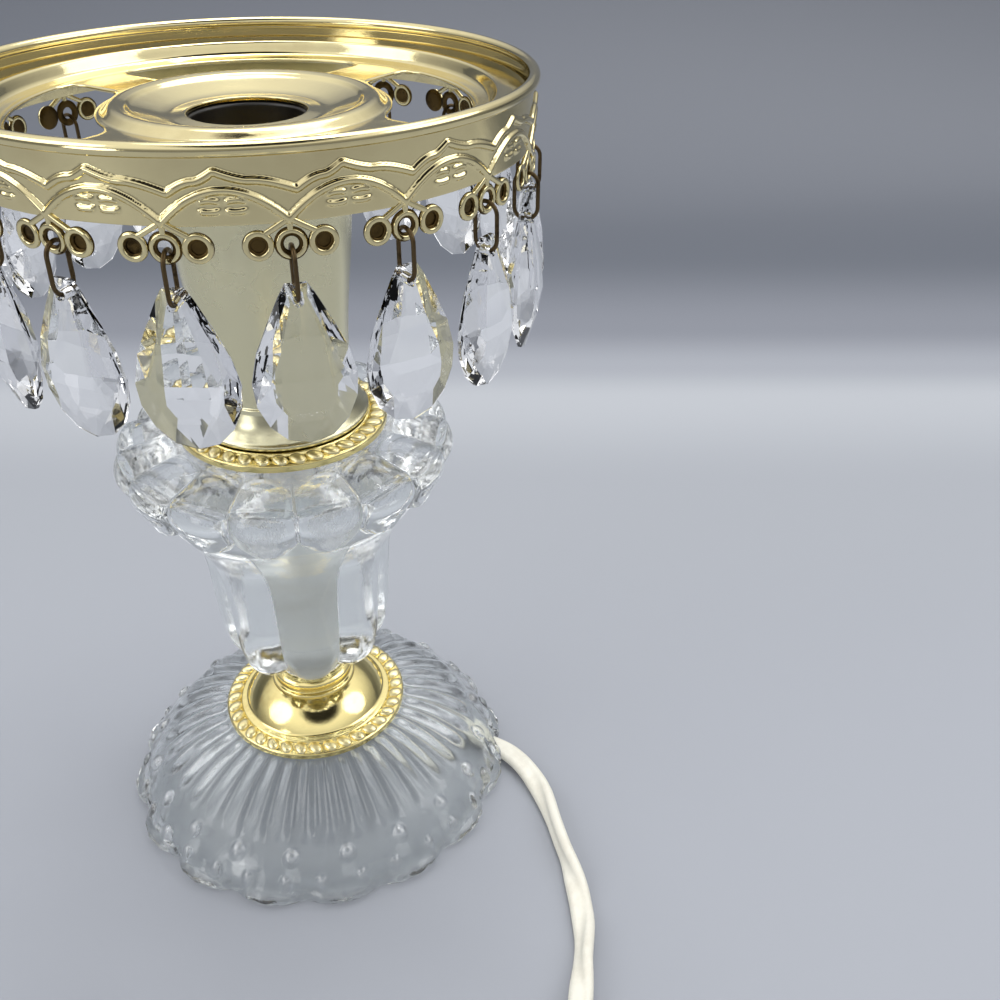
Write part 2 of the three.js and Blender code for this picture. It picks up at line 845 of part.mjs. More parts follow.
// The cord inside the lamp: down the pipe, round under the glass, and out to the notch in the foot
function innerCordGeometry() {
  const start = socketBase + 1.2;
  const away = headingOf(exitHeading);
  const end = exitPoint.clone().addScaledVector(away, -seatGap);
  const route = [
    [0, 0, start],
    [0, 0, start - 40],
    [0, 0, 70],
    [0, 0, 30],
    [0, 0, 15],
    [2.4, 1, 8.6],
    [8.6, 3.5, 4.4],
    [18, 7.2, 3],
    [29, 9.6, 2.9],
    [40, 6.4, 3],
    [end.x - 8 * away.x, end.y - 8 * away.y, 3],
    [end.x, end.y, end.z],
  ];
  const curve = new THREE.CatmullRomCurve3(route.map((p) => new THREE.Vector3(...p)), false, 'centripetal');
  const steps = 26;
  const marks = Array.from({ length: steps + 1 }, (_, i) => i / steps);
  let across = new THREE.Vector3(-Math.sin(22 * degree), Math.cos(22 * degree), 0);
  const stations = marks.map((u) => {
    const tangent = curve.getTangent(u);
    across = across.clone().addScaledVector(tangent, -across.dot(tangent)).normalize();
    return { point: curve.getPoint(u), tangent, across };
  });
  stations[steps] = levelStation(stations[steps].point, away, 0);
  return cordAlong(stations, 8);
}

// Switch frame: its length runs along the cord, its flat faces are level
const [routeEnd, routeBefore] = [freeRoute.at(-1), freeRoute.at(-2)];
const switchHeading = Math.atan2(routeEnd[1] - routeBefore[1], routeEnd[0] - routeBefore[0]);
const switchAlong = headingOf(switchHeading);

function alongSwitch(distance, height) {
  const flat = new THREE.Vector3(...routeEnd, height);
  return flat.addScaledVector(switchAlong, distance);
}

// The coil: from the switch, in to the middle, up a layer, out again, and on to the plug
const leadIn = 36;
const coilStart = alongSwitch(seatGap * 2 + switchLength + leadIn, 0);
const coilCentre = new THREE.Vector3(
  coilStart.x + coilRadius * Math.sin(switchHeading),
  coilStart.y - coilRadius * Math.cos(switchHeading),
  0,
);
const startAngle = switchHeading + 90 * degree;
const plugAngle = startAngle - coilTurns * turn;
const plugHeading = plugAngle - 90 * degree;
const tailLength = 46;
const freeLength = lengthOf(freeCordStations());

function coilStations() {
  const low = cordWidth / 2 + tableGap;
  const onEdge = 90 * degree;
  const stations = [];
  const leadSteps = 4;
  for (let i = 0; i < leadSteps; i++) {
    const s = (leadIn * i) / leadSteps;
    const fall = smooth(0, leadIn, s);
    const height = switchMiddleHeight + (low - switchMiddleHeight) * fall;
    const point = alongSwitch(seatGap * 2 + switchLength + s, height);
    stations.push(levelStation(point, switchAlong.clone(), onEdge * smooth(4, leadIn - 6, s)));
  }
  const steps = Math.round(coilTurns * coilSteps);
  const loose = freeLength + switchLength + leadIn + tailLength;
  const innerRadius = (2 * (cordLength - loose)) / (turn * coilTurns) - coilRadius + coilDip / coilTurns;
  for (let i = 0; i <= steps; i++) {
    const done = i / steps;
    const angle = startAngle - coilTurns * turn * done;
    const fromMiddle = coilTurns * (done - 0.5);
    const spiral = innerRadius + (coilRadius - innerRadius) * Math.abs(2 * done - 1);
    const dip = Math.abs(fromMiddle) < 0.5 ? coilDip * Math.cos(Math.PI * fromMiddle) ** 2 : 0;
    const radius = spiral - dip;
    const climb = smooth(-0.25, 0.25, fromMiddle);
    const point = new THREE.Vector3(
      coilCentre.x + radius * Math.cos(angle),
      coilCentre.y + radius * Math.sin(angle),
      low + coilLayerPitch * climb,
    );
    const tangent = new THREE.Vector3(Math.sin(angle), -Math.cos(angle), 0);
    stations.push(levelStation(point, tangent, onEdge));
  }
  const tail = new THREE.Vector3(Math.cos(plugHeading), Math.sin(plugHeading), 0);
  const top = stations[stations.length - 1].point;
  const tailSteps = 6;
  for (let i = 1; i <= tailSteps; i++) {
    const s = (tailLength * i) / tailSteps;
    const fall = smooth(4, tailLength - 6, s);
    const point = top.clone().addScaledVector(tail, s);
    point.z += (plugThickness / 2 + tableGap - top.z) * fall;
    stations.push(levelStation(point, tail.clone(), onEdge * (1 - smooth(14, tailLength - 8, s))));
  }
  return stations;
}

function lengthOf(stations) {
  return stations.slice(1).reduce((sum, s, i) => sum + s.point.distanceTo(stations[i].point), 0);
}

// The least gap of the coil to itself, between points at least half a turn apart
function leastGap(stations) {
  let least = Infinity;
  stations.forEach((a, i) => {
    stations.slice(i + coilSteps / 2).forEach((b) => {
      const level = Math.hypot(a.point.x - b.point.x, a.point.y - b.point.y) - cordThickness;
      const upright = Math.abs(a.point.z - b.point.z) - cordWidth;
      least = Math.min(least, Math.max(level, upright));
    });
  });
  return least;
}

// In-line switch: two halves of a shell, and a ribbed wheel that stands out at one side
const switchMiddle = alongSwitch(seatGap + switchLength / 2, 0);
const wheelOffset = switchWidth / 2 - wheelRadius + wheelStandsOut;

function switchOutline(inset) {
  const l = switchLength / 2 - inset;
  const w = switchWidth / 2 - inset;
  const n = 5.2 - inset;
  return [
    [-l, -n],
    [-l + 9, -w + 1],
    [-l + 14, -w],
    [l - 14, -w],
    [l - 9, -w + 1],
    [l, -n],
    [l, n],
    [l - 9, w - 1],
    [l - 14, w],
    [-l + 14, w],
    [-l + 9, w - 1],
    [-l, n],
  ];
}

function switchHalf(isUpper) {
  const parting = isUpper ? 0 : switchShell;
  const shell = plate(shapeOf(switchOutline(0)), switchShell);
  const room = plate(shapeOf(switchOutline(switchWall)), switchShell);
  room.translate(0, 0, isUpper ? -switchWall : switchWall);
  const reach = wheelRadius + wheelGap;
  const slot = new THREE.CylinderGeometry(reach, reach, wheelThickness + 2 * wheelGap - seatGap, 24);
  slot.rotateX(Math.PI / 2).translate(0, wheelOffset, parting);
  const channel = box([switchLength + 4, cordWidth + 0.8, cordThickness + 0.8], [0, 0, parting]);
  let half = cut(shell, [room, slot, channel]);
  if (!isUpper) {
    half = joined(half, [wheelPost().translate(0, wheelOffset, 0)]);
  }
  const lift = tableGap + (isUpper ? switchShell + seatGap : 0);
  return half.rotateZ(switchHeading).translate(switchMiddle.x, switchMiddle.y, lift);
}

// Post in the lower half: a shoulder under the wheel, and a pin through it
function wheelPost() {
  const shoulder = switchShell + seatGap / 2 - wheelThickness / 2 - seatGap;
  return turned(
    [
      [0, switchWall - 0.5],
      [wheelHole + 1.5, switchWall - 0.5],
      [wheelHole + 1.5, shoulder],
      [wheelHole - seatGap, shoulder],
      [wheelHole - seatGap, shoulder + wheelThickness + seatGap],
      [0, shoulder + wheelThickness + seatGap],
    ],
    12,
  );
}

function wheelGeometry() {
  const rim = Array.from({ length: wheelRibs * 2 }, (_, i) => {
    const a = (turn * i) / (wheelRibs * 2);
    const r = wheelRadius - (i % 2 ? 0.5 : 0);
    return [r * Math.cos(a), r * Math.sin(a)];
  });
  const outline = shapeOf(rim);
  outline.holes.push(new THREE.Path(shapeOf(ringOf(0, 0, wheelHole, 12)).getPoints()));
  return plate(outline, wheelThickness).translate(0, 0, -wheelThickness / 2);
}

const wheelCentre = new THREE.Vector3(
  switchMiddle.x - wheelOffset * Math.sin(switchHeading),
  switchMiddle.y + wheelOffset * Math.cos(switchHeading),
  switchMiddleHeight + tableGap,
);

// Plug: a moulded body with two blades, lying flat at the end of the coil's tail
const tailEnd = coilStations().at(-1).point;

function plugPlace(geometry) {
  return geometry.rotateZ(plugHeading).translate(tailEnd.x, tailEnd.y, tailEnd.z);
}

function plugBodyGeometry() {
  const w = plugWidth / 2;
  const neck = cordWidth / 2 + 1.2;
  const outline = shapeOf([
    [seatGap, -neck],
    [8, -w + 2],
    [12, -w],
    [plugLength, -w],
    [plugLength, w],
    [12, w],
    [8, w - 2],
    [seatGap, neck],
  ]);
  const body = plate(outline, plugThickness).translate(0, 0, -plugThickness / 2);
  const seats = [-1, 1].map((side) => bladeBox(side, bladeSeat + seatGap, seatGap));
  return plugPlace(cut(body, seats));
}

function bladeBox(side, seat, clear) {
  const length = bladeLength + seat;
  const centre = [plugLength - seat + length / 2, (side * bladePitch) / 2, 0];
  return box([length, bladeThickness + 2 * clear, bladeWidth + 2 * clear], centre);
}

// Assembly, from the table up
add('glass_foot', footGeometry(), finishes.foot);
const under = footHeight - footGlass - seatGap;
const washer = turned(tubeProfile(pipeRadius + 0.4, washerRadius, 0, washerThickness), 32);
add('foot_washer', washer, finishes.steel).position.z = under - washerThickness;
const footNut = add('foot_nut', nutGeometry(nutThickness), finishes.steel);
footNut.position.z = under - washerThickness - seatGap - nutThickness;
add('lamp_pipe', turned(tubeProfile(pipeBore, pipeRadius, pipeBottom, pipeTop), 16), finishes.steel);
add('lower_bead_cap', capGeometry(), finishes.brass).position.z = lowerCapBase;
add('glass_column', columnGeometry(), finishes.column).position.z = columnBase;
add('upper_bead_cap', capGeometry(), finishes.brass).position.z = upperCapBase;
add('pipe_lock_nut', nutGeometry(lockNutThickness), finishes.steel).position.z = lockNutBase;
add('husk', huskGeometry(), finishes.paleBrass).position.z = huskBase;
add('gallery_ring', galleryRingGeometry(), finishes.brass);
add('gallery_pan', galleryPanGeometry(), finishes.brass);
add('socket_cap', socketCapGeometry(), finishes.brass);
add('socket_body', socketBodyGeometry(), finishes.phenolic);
add('screw_shell', screwShellGeometry(), finishes.brass);
add('centre_contact', centreContactGeometry(), finishes.brass);

// The drops, each on its wire ring in the middle eyelet of a group
const link = linkGeometry();
const drop = dropGeometry();
for (let i = 0; i < dropCount; i++) {
  const hanger = new THREE.Group();
  const angle = dropAngle(i);
  hanger.position.set(dropRadius * Math.cos(angle), dropRadius * Math.sin(angle), 0);
  hanger.rotation.z = angle;
  const number = String(i + 1).padStart(2, '0');
  add(`drop_link_${number}`, link, finishes.bronze, hanger).position.z = wireHeight;
  const glass = add(`crystal_drop_${number}`, drop, finishes.crystal, hanger);
  glass.position.z = dropHoleHeight + dropHoleDepth;
  glass.rotation.z = 90 * degree;
  lamp.add(hanger);
}

// The cord and what is on it
const coil = coilStations();
const free = freeCordStations();
add('cord_in_lamp', innerCordGeometry(), finishes.whiteCord);
add('cord', cordAlong(free, 8), finishes.whiteCord);
add('cord_coil', cordAlong(coil, 6), finishes.whiteCord);
add('switch_lower_shell', switchHalf(false), finishes.whitePlastic);
add('switch_upper_shell', switchHalf(true), finishes.whitePlastic);
add('switch_wheel', wheelGeometry(), finishes.whitePlastic).position.copy(wheelCentre);
add('plug_body', plugBodyGeometry(), finishes.whitePlastic);
add('plug_blade_left', plugPlace(bladeBox(1, bladeSeat, 0)), finishes.brass);
add('plug_blade_right', plugPlace(bladeBox(-1, bladeSeat, 0)), finishes.brass);

const whole = lengthOf(free) + switchLength + lengthOf(coil);
console.log(`cord from foot to plug: ${whole.toFixed(0)} mm, wanted ${cordLength} mm`);
console.log(`least gap of the coil to itself: ${leastGap(coil).toFixed(2)} mm`);

export default lamp;
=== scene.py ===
# Boudoir table lamp: pressed glass foot and column, beaded brass caps, brass gallery with hanging glass drops
import json
import math

import bmesh
import bpy
import numpy as np
from mathutils import Matrix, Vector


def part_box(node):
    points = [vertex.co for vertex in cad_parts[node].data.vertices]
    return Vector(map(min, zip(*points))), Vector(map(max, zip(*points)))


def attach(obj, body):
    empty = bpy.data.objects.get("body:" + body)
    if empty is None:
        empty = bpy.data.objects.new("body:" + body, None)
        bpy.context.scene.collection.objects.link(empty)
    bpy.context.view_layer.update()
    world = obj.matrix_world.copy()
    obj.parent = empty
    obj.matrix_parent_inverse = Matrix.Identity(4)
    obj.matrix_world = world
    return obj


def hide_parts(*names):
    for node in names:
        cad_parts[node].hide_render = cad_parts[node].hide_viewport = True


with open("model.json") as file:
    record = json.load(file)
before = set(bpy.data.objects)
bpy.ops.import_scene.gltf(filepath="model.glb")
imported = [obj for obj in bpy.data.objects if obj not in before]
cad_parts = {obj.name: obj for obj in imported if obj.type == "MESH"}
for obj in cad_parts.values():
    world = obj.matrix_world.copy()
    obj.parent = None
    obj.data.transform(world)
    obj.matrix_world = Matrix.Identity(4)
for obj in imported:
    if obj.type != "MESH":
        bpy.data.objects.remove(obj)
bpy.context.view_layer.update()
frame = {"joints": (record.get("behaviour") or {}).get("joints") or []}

# Sizes below are in millimetres, and meshes are made in metres
mm = 0.001
fullTurn = 2 * math.pi


# A colour as a screen shows it, 0 to 255, turned into the light values that the nodes take
def tint(red, green, blue):
    parts = [c / 255 for c in (red, green, blue)]
    return [c / 12.92 if c <= 0.04045 else ((c + 0.055) / 1.055) ** 2.4 for c in parts] + [1]


# A soft step from 0 to 1 as x goes from a to b: 3t squared minus 2t cubed
def ease(a, b, x):
    t = np.clip((x - a) / (b - a), 0, 1)
    return t * t * (3 - 2 * t)


# Angles of equal steps round a full turn
def turnSteps(count):
    return np.linspace(0, fullTurn, count, endpoint=False)


# Lowest and highest point of a node of the frame, in millimetres
def nodeSpan(node):
    low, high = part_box(node)
    return low.z / mm, high.z / mm


# Puts a camera or a lamp in the scene: its axes are right, up and back, and its place is in metres
def addPlaced(name, data, axes, place):
    thing = bpy.data.objects.new(name, data)
    matrix = Matrix.Identity(4)
    for column, axis in enumerate((*axes, place)):
        for row in range(3):
            matrix[row][column] = axis[row]
    thing.matrix_world = matrix
    bpy.context.scene.collection.objects.link(thing)
    return thing


# Camera
camera = {
    "place": (0, -275.85, 283.14),
    "turnRight": 12.916,  # degrees from +Y towards +X
    "dip": 32.96,  # degrees below level
    "roll": 0.343,
    "lens": 38.66,
}


# The camera's axes: forward from the turn and the dip, then right and up rolled about it
def makeCamera():
    yaw, dip, roll = (math.radians(camera[k]) for k in ("turnRight", "dip", "roll"))
    forward = np.array([math.sin(yaw) * math.cos(dip), math.cos(yaw) * math.cos(dip), -math.sin(dip)])
    right = np.array([math.cos(yaw), -math.sin(yaw), 0])
    up = np.cross(right, forward)
    rolledRight = math.cos(roll) * right + math.sin(roll) * up
    rolledUp = math.cos(roll) * up - math.sin(roll) * right
    data = bpy.data.cameras.new("camera")
    data.lens = camera["lens"]
    data.clip_start = 0.01
    data.clip_end = 20
    place = [v * mm for v in camera["place"]]
    bpy.context.scene.camera = addPlaced("camera", data, (rolledRight, rolledUp, -forward), place)


makeCamera()
bpy.context.scene.view_settings.view_transform = "Standard"
print("camera placed")


# Mesh tools

# Four-cornered faces of a grid whose rows follow a profile and whose columns go round it
def gridFaces(rows, columns, closeRows=True, closeColumns=True):
    firstRows, firstColumns = np.arange(rows - (not closeRows)), np.arange(columns - (not closeColumns))
    r, c = np.meshgrid(firstRows, firstColumns, indexing="ij")
    r2, c2 = (r + 1) % rows, (c + 1) % columns
    quads = np.stack([r * columns + c, r * columns + c2, r2 * columns + c2, r2 * columns + c], -1)
    return quads.reshape(-1, 4)


# Points in millimetres and arrays of faces, each with one number of corners, made into a mesh in metres
def makeMesh(name, points, *faceSets):
    mesh = bpy.data.meshes.new(name)
    corners = np.concatenate([f.ravel() for f in faceSets]).astype(np.int32)
    sizes = np.concatenate([np.full(len(f), f.shape[1]) for f in faceSets])
    starts = np.concatenate([[0], np.cumsum(sizes)[:-1]]).astype(np.int32)
    mesh.vertices.add(len(points))
    mesh.vertices.foreach_set("co", (np.asarray(points, float) * mm).ravel())
    mesh.loops.add(len(corners))
    mesh.loops.foreach_set("vertex_index", corners)
    mesh.polygons.add(len(sizes))
    mesh.polygons.foreach_set("loop_start", starts)
    mesh.update(calc_edges=True)
    mesh.validate()
    return mesh


# Points of several parts put one after another, with their faces counted on
def together(*parts):
    points, faces, count = [], [], 0
    for partPoints, partFaces in parts:
        points.append(partPoints)
        faces.append(partFaces + count)
        count += len(partPoints)
    return np.concatenate(points), np.concatenate(faces)


# Smooth shading, with edges left sharp where the faces turn by more than the angle, in degrees
def shadeByAngle(mesh, sharpAngle):
    mesh.polygons.foreach_set("use_smooth", np.ones(len(mesh.polygons), bool))
    mesh.set_sharp_from_angle(angle=math.radians(sharpAngle))


# A finished piece: its material, its body, and the nodes that it stands for
def addPiece(name, mesh, material, nodes=(), body="lamp", sharpAngle=40):
    piece = bpy.data.objects.new(name, mesh)
    bpy.context.scene.collection.objects.link(piece)
    mesh.materials.append(material)
    shadeByAngle(mesh, sharpAngle)
    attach(piece, body)
    if nodes:
        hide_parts(*nodes)
    return piece


# Merges the doubled points of a pole on the axis
def mergePoles(mesh):
    work = bmesh.new()
    work.from_mesh(mesh)
    bmesh.ops.remove_doubles(work, verts=work.verts, dist=1e-7)
    bmesh.ops.dissolve_degenerate(work, edges=work.edges, dist=1e-8)
    work.to_mesh(mesh)
    work.free()
    return mesh


# Corners (radius, height above the base, rounding) become a line: each rounded corner is a quadratic curve
# that starts and ends at the rounding's distance from it, and straight stretches are cut into steps
def roundedProfile(corners, step, closed=True, base=0):
    places = np.array([(c[0], c[1] + base) for c in corners], float)
    roundings = np.array([c[2] if len(c) > 2 else 0 for c in corners], float)
    count = len(places)
    line = []
    t = np.linspace(0, 1, 6)[:, None]
    for i in range(count):
        here = places[i]
        before, after = places[i - 1], places[(i + 1) % count]
        isEnd = not closed and i in (0, count - 1)
        lengthBefore, lengthAfter = np.linalg.norm(before - here), np.linalg.norm(after - here)
        reach = min(roundings[i], 0.45 * lengthBefore, 0.45 * lengthAfter)
        if isEnd or reach < 1e-6:
            line.append(here[None])
        else:
            a = here + (before - here) * reach / lengthBefore
            b = here + (after - here) * reach / lengthAfter
            line.append((1 - t) ** 2 * a + 2 * t * (1 - t) * here + t ** 2 * b)
    line = np.concatenate(line)
    return stepped(line, step, closed)


# A line whose stretches longer than a step are cut into equal pieces
def stepped(line, step, closed):
    ends = np.concatenate([line[1:], line[:1]]) if closed else line[1:]
    pieces = []
    for a, b in zip(line, ends):
        n = max(1, int(math.ceil(np.linalg.norm(b - a) / step)))
        pieces.append(a + (b - a) * (np.arange(n) / n)[:, None])
    if not closed:
        pieces.append(line[-1:])
    return np.concatenate(pieces)


# A smooth line through chosen points: centripetal Catmull-Rom stretches, evened out along the length
def smoothLine(points, count, stretchSteps=40):
    p = np.array(points, float)
    p = np.vstack([2 * p[0] - p[1], p, 2 * p[-1] - p[-2]])
    t = np.linspace(0, 1, stretchSteps, endpoint=False)[:, None]
    parts = []
    for a, b, c, d in zip(p, p[1:], p[2:], p[3:]):
        ab, bc, cd = (math.sqrt(np.linalg.norm(v)) for v in (b - a, c - b, d - c))
        m = ((b - a) / ab - (c - a) / (ab + bc) + (c - b) / bc) * bc
        n = ((c - b) / bc - (d - b) / (bc + cd) + (d - c) / cd) * bc
        parts.append(b + m * t + (3 * (c - b) - 2 * m - n) * t ** 2 + (2 * (b - c) + m + n) * t ** 3)
    return evened(np.concatenate(parts + [p[-2:-1]]), count)


# Distance of each point of a line from its start
def distances(line):
    return np.concatenate([[0], np.cumsum(np.linalg.norm(np.diff(line, axis=0), axis=1))])


# Points at equal distances along a line
def evened(line, count):
    run = distances(line)
    marks = np.linspace(0, run[-1], count)
    return np.stack([np.interp(marks, run, line[:, k]) for k in range(line.shape[1])], -1)


# Whole length of a line
def runOf(line):
    return np.linalg.norm(np.diff(line, axis=0), axis=1).sum()


# Points in space by radius, angle and height
def roundPoints(r, angle, z):
    return np.stack(np.broadcast_arrays(r * np.cos(angle), r * np.sin(angle), z), -1).reshape(-1, 3)


# Points turned about the upright axis
def spun(points, angle):
    c, s = math.cos(angle), math.sin(angle)
    x, y, z = points.T
    return np.column_stack([c * x - s * y, s * x + c * y, z])


# A profile turned about the lamp's axis. A closed one runs up the outside and down the inside, and an open
# one starts and ends on the axis. relief(radius, angle, height, facing) gives how far each point moves out
# along the profile's normal, and facing is that normal as (radial, upward). bend(radius, angle, height) gives
# each point's new radius and height.
def turned(profile, columns, relief=None, bend=None, closed=True):
    profile = np.asarray(profile, float)
    ahead, behind = np.roll(profile, -1, 0), np.roll(profile, 1, 0)
    tangent = ahead - behind
    tangent /= np.linalg.norm(tangent, axis=1)[:, None] + 1e-12
    normal = np.stack([tangent[:, 1], -tangent[:, 0]], -1)
    angle = turnSteps(columns)[None, :]
    r = np.repeat(profile[:, :1], columns, 1)
    z = np.repeat(profile[:, 1:], columns, 1)
    if relief is not None:
        h = relief(r, angle, z, (normal[:, :1], normal[:, 1:]))
        r, z = r + h * normal[:, :1], z + h * normal[:, 1:]
    if bend is not None:
        r, z = bend(r, angle, z)
    return roundPoints(r, angle, z), gridFaces(len(profile), columns, closed)


# A turned piece of the lamp that stands for one node
def addTurned(name, node, profile, columns, material, relief=None, bend=None, sharpAngle=40):
    mesh = makeMesh(name, *turned(profile, columns, relief, bend))
    addPiece(name, mesh, material, [node], sharpAngle=sharpAngle)


# Signed distance, in turns of one copy, from the nearest copy of a feature repeated round the axis
def repeatTurn(angle, count, startDegrees):
    share = (angle - math.radians(startDegrees)) * count / fullTurn
    return share - np.round(share)


# A sine or cosine drawn towards its ends by a power under 1, which makes a round section squarish
def squarish(wave, power):
    return np.sign(wave) * np.abs(wave) ** power


# A section carried along a line: x of the section lies along "across", y along "lift"
def carried(line, across, lift, section, closed=False):
    points = line[:, None] + section[None, :, :1] * across[:, None] + section[None, :, 1:] * lift[:, None]
    return points.reshape(-1, 3), gridFaces(len(line), len(section), closed, True)


# End faces of a carried section
def endFaces(rows, columns):
    first = np.arange(columns)[::-1][None]
    last = (rows - 1) * columns + np.arange(columns)[None]
    return np.concatenate([first, last])


# Side faces and end faces of a tube, each of whose rows is a closed round
def tubeFaces(rows, columns):
    return gridFaces(rows, columns, False, True), endFaces(rows, columns)


# Tangents of a line of points, by the difference of the neighbours
def tangentsOf(line, closed=False):
    if closed:
        t = np.roll(line, -1, 0) - np.roll(line, 1, 0)
    else:
        t = np.gradient(line, axis=0)
    return t / np.linalg.norm(t, axis=1)[:, None]


# Material tools

# A node group with its sockets, each input as (label, kind, value) and each output as (label, kind)
def newGroup(name, inputs, outputs):
    group = bpy.data.node_groups.new(name, "ShaderNodeTree")
    for label, kind, value in inputs:
        socket = group.interface.new_socket(name=label, in_out="INPUT", socket_type="NodeSocket" + kind)
        socket.default_value = value
    for label, kind in outputs:
        group.interface.new_socket(name=label, in_out="OUTPUT", socket_type="NodeSocket" + kind)
    source = group.nodes.new("NodeGroupInput")
    sink = group.nodes.new("NodeGroupOutput")
    return group, source, sink


def addNode(tree, kind, **settings):
    node = tree.nodes.new("ShaderNode" + kind)
    for key, value in settings.items():
        setattr(node, key, value)
    return node


# Inputs of a node, by label or place: a plain value is set, and another node's output is linked
def feed(tree, node, values):
    for key, value in values.items():
        if isinstance(value, (int, float, list, tuple)):
            node.inputs[key].default_value = value
        else:
            tree.links.new(value, node.inputs[key])


# Noise between 0 and 1
def noiseNode(tree, vector, scale, detail=3, roughness=0.5):
    noise = addNode(tree, "TexNoise")
    feed(tree, noise, {"Vector": vector, "Scale": scale, "Detail": detail, "Roughness": roughness})
    return noise.outputs["Fac"]


# A soft step of the value: from one pair of limits to the other
def rangeNode(tree, value, fromLow, fromHigh, toLow=0.0, toHigh=1.0):
    node = addNode(tree, "MapRange", interpolation_type="SMOOTHSTEP")
    feed(tree, node, {"Value": value, "From Min": fromLow, "From Max": fromHigh,
                      "To Min": toLow, "To Max": toHigh})
    return node.outputs["Result"]


def mathNode(tree, operation, a, b):
    node = addNode(tree, "Math", operation=operation)
    feed(tree, node, {0: a, 1: b})
    return node.outputs[0]


def mixColour(tree, factor, a, b):
    node = addNode(tree, "Mix", data_type="RGBA")
    feed(tree, node, {0: factor, 6: a, 7: b})
    return node.outputs[2]


# Tarnish: patches of a second colour, where a coarse and a fine noise are both high
def makeTarnishGroup():
    group, source, sink = newGroup(
        "tarnish",
        [("Vector", "Vector", (0, 0, 0)), ("Metal", "Color", (1, 1, 1, 1)), ("Patina", "Color", (0, 0, 0, 1)),
         ("Scale", "Float", 40.0), ("Amount", "Float", 0.3), ("Polish", "Float", 0.15),
         ("Dullness", "Float", 0.15)],
        [("Color", "Color"), ("Roughness", "Float")],
    )
    coarse = noiseNode(group, source.outputs["Vector"], source.outputs["Scale"], 4, 0.6)
    fineScale = mathNode(group, "MULTIPLY", source.outputs["Scale"], 9.0)
    fine = noiseNode(group, source.outputs["Vector"], fineScale, 2, 0.5)
    coarsePatch = rangeNode(group, coarse, 0.42, 0.72)
    patch = mathNode(group, "MULTIPLY", coarsePatch, rangeNode(group, fine, 0.3, 0.65))
    mask = mathNode(group, "MULTIPLY", patch, source.outputs["Amount"])
    colour = mixColour(group, mask, source.outputs["Metal"], source.outputs["Patina"])
    smearScale = mathNode(group, "MULTIPLY", source.outputs["Scale"], 0.6)
    smear = noiseNode(group, source.outputs["Vector"], smearScale, 5, 0.7)
    dull = mathNode(group, "MULTIPLY", rangeNode(group, smear, 0.35, 0.75), source.outputs["Dullness"])
    worn = mathNode(group, "ADD", dull, mathNode(group, "MULTIPLY", patch, 0.08))
    group.links.new(colour, sink.inputs["Color"])
    group.links.new(mathNode(group, "ADD", worn, source.outputs["Polish"]), sink.inputs["Roughness"])
    return group


# Ripple: the slight unevenness of pressed glass, stamped sheet or moulded plastic, as a height
def makeRippleGroup():
    group, source, sink = newGroup(
        "ripple",
        [("Vector", "Vector", (0, 0, 0)), ("Scale", "Float", 60.0), ("Fine", "Float", 0.3)],
        [("Height", "Float")],
    )
    broad = noiseNode(group, source.outputs["Vector"], source.outputs["Scale"], 1, 0.4)
    fineScale = mathNode(group, "MULTIPLY", source.outputs["Scale"], 8.0)
    fine = noiseNode(group, source.outputs["Vector"], fineScale, 3, 0.6)
    height = mathNode(group, "ADD", broad, mathNode(group, "MULTIPLY", fine, source.outputs["Fine"]))
    group.links.new(height, sink.inputs["Height"])
    return group


# Dust: a pale film in patches, thicker on what faces up
def makeDustGroup():
    group, source, sink = newGroup(
        "dust",
        [("Vector", "Vector", (0, 0, 0)), ("Color", "Color", (1, 1, 1, 1)),
         ("Film", "Color", (0.6, 0.58, 0.54, 1)), ("Scale", "Float", 120.0), ("Amount", "Float", 0.1)],
        [("Color", "Color"), ("Mask", "Float")],
    )
    facing = addNode(group, "NewGeometry")
    split = addNode(group, "SeparateXYZ")
    group.links.new(facing.outputs["Normal"], split.inputs[0])
    upward = rangeNode(group, split.outputs["Z"], -0.2, 0.9, 0.25, 1.0)
    cloud = noiseNode(group, source.outputs["Vector"], source.outputs["Scale"], 5, 0.7)
    specks = rangeNode(group, cloud, 0.4, 0.7)
    mask = mathNode(group, "MULTIPLY", mathNode(group, "MULTIPLY", upward, specks), source.outputs["Amount"])
    filmed = mixColour(group, mask, source.outputs["Color"], source.outputs["Film"])
    group.links.new(filmed, sink.inputs["Color"])
    group.links.new(mask, sink.inputs["Mask"])
    return group


tarnish = makeTarnishGroup()
ripple = makeRippleGroup()
dust = makeDustGroup()


# A material with its tree, its shader and the piece's own coordinates
def newMaterial(name):
    material = bpy.data.materials.new(name)
    material.use_nodes = True
    tree = material.node_tree
    shader = tree.nodes["Principled BSDF"]
    place = addNode(tree, "TexCoord").outputs["Object"]
    return material, tree, shader, place


# A group placed in a material with its own values, some of them linked
def groupNode(tree, group, **values):
    node = addNode(tree, "Group")
    node.node_tree = group
    feed(tree, node, values)
    return node.outputs


# Bump from a height: strength and depth are plain values
def bumped(tree, shader, height, depth, strength=1.0):
    bump = addNode(tree, "Bump")
    feed(tree, bump, {"Strength": strength, "Distance": depth, "Height": height})
    tree.links.new(bump.outputs["Normal"], shader.inputs["Normal"])


# Polish is the roughness of the clean metal, and dullness what wear adds to it; scales are counted per metre
def makeMetal(name, metal, patina, scale, amount, polish, dullness, rippleScale, rippleDepth):
    material, tree, shader, place = newMaterial(name)
    shader.inputs["Metallic"].default_value = 1.0
    worn = groupNode(tree, tarnish, Vector=place, Metal=metal, Patina=patina, Scale=scale, Amount=amount,
                     Polish=polish, Dullness=dullness)
    tree.links.new(worn["Color"], shader.inputs["Base Color"])
    tree.links.new(worn["Roughness"], shader.inputs["Roughness"])
    height = groupNode(tree, ripple, Vector=place, Scale=rippleScale, Fine=0.3)["Height"]
    bumped(tree, shader, height, rippleDepth)
    return material


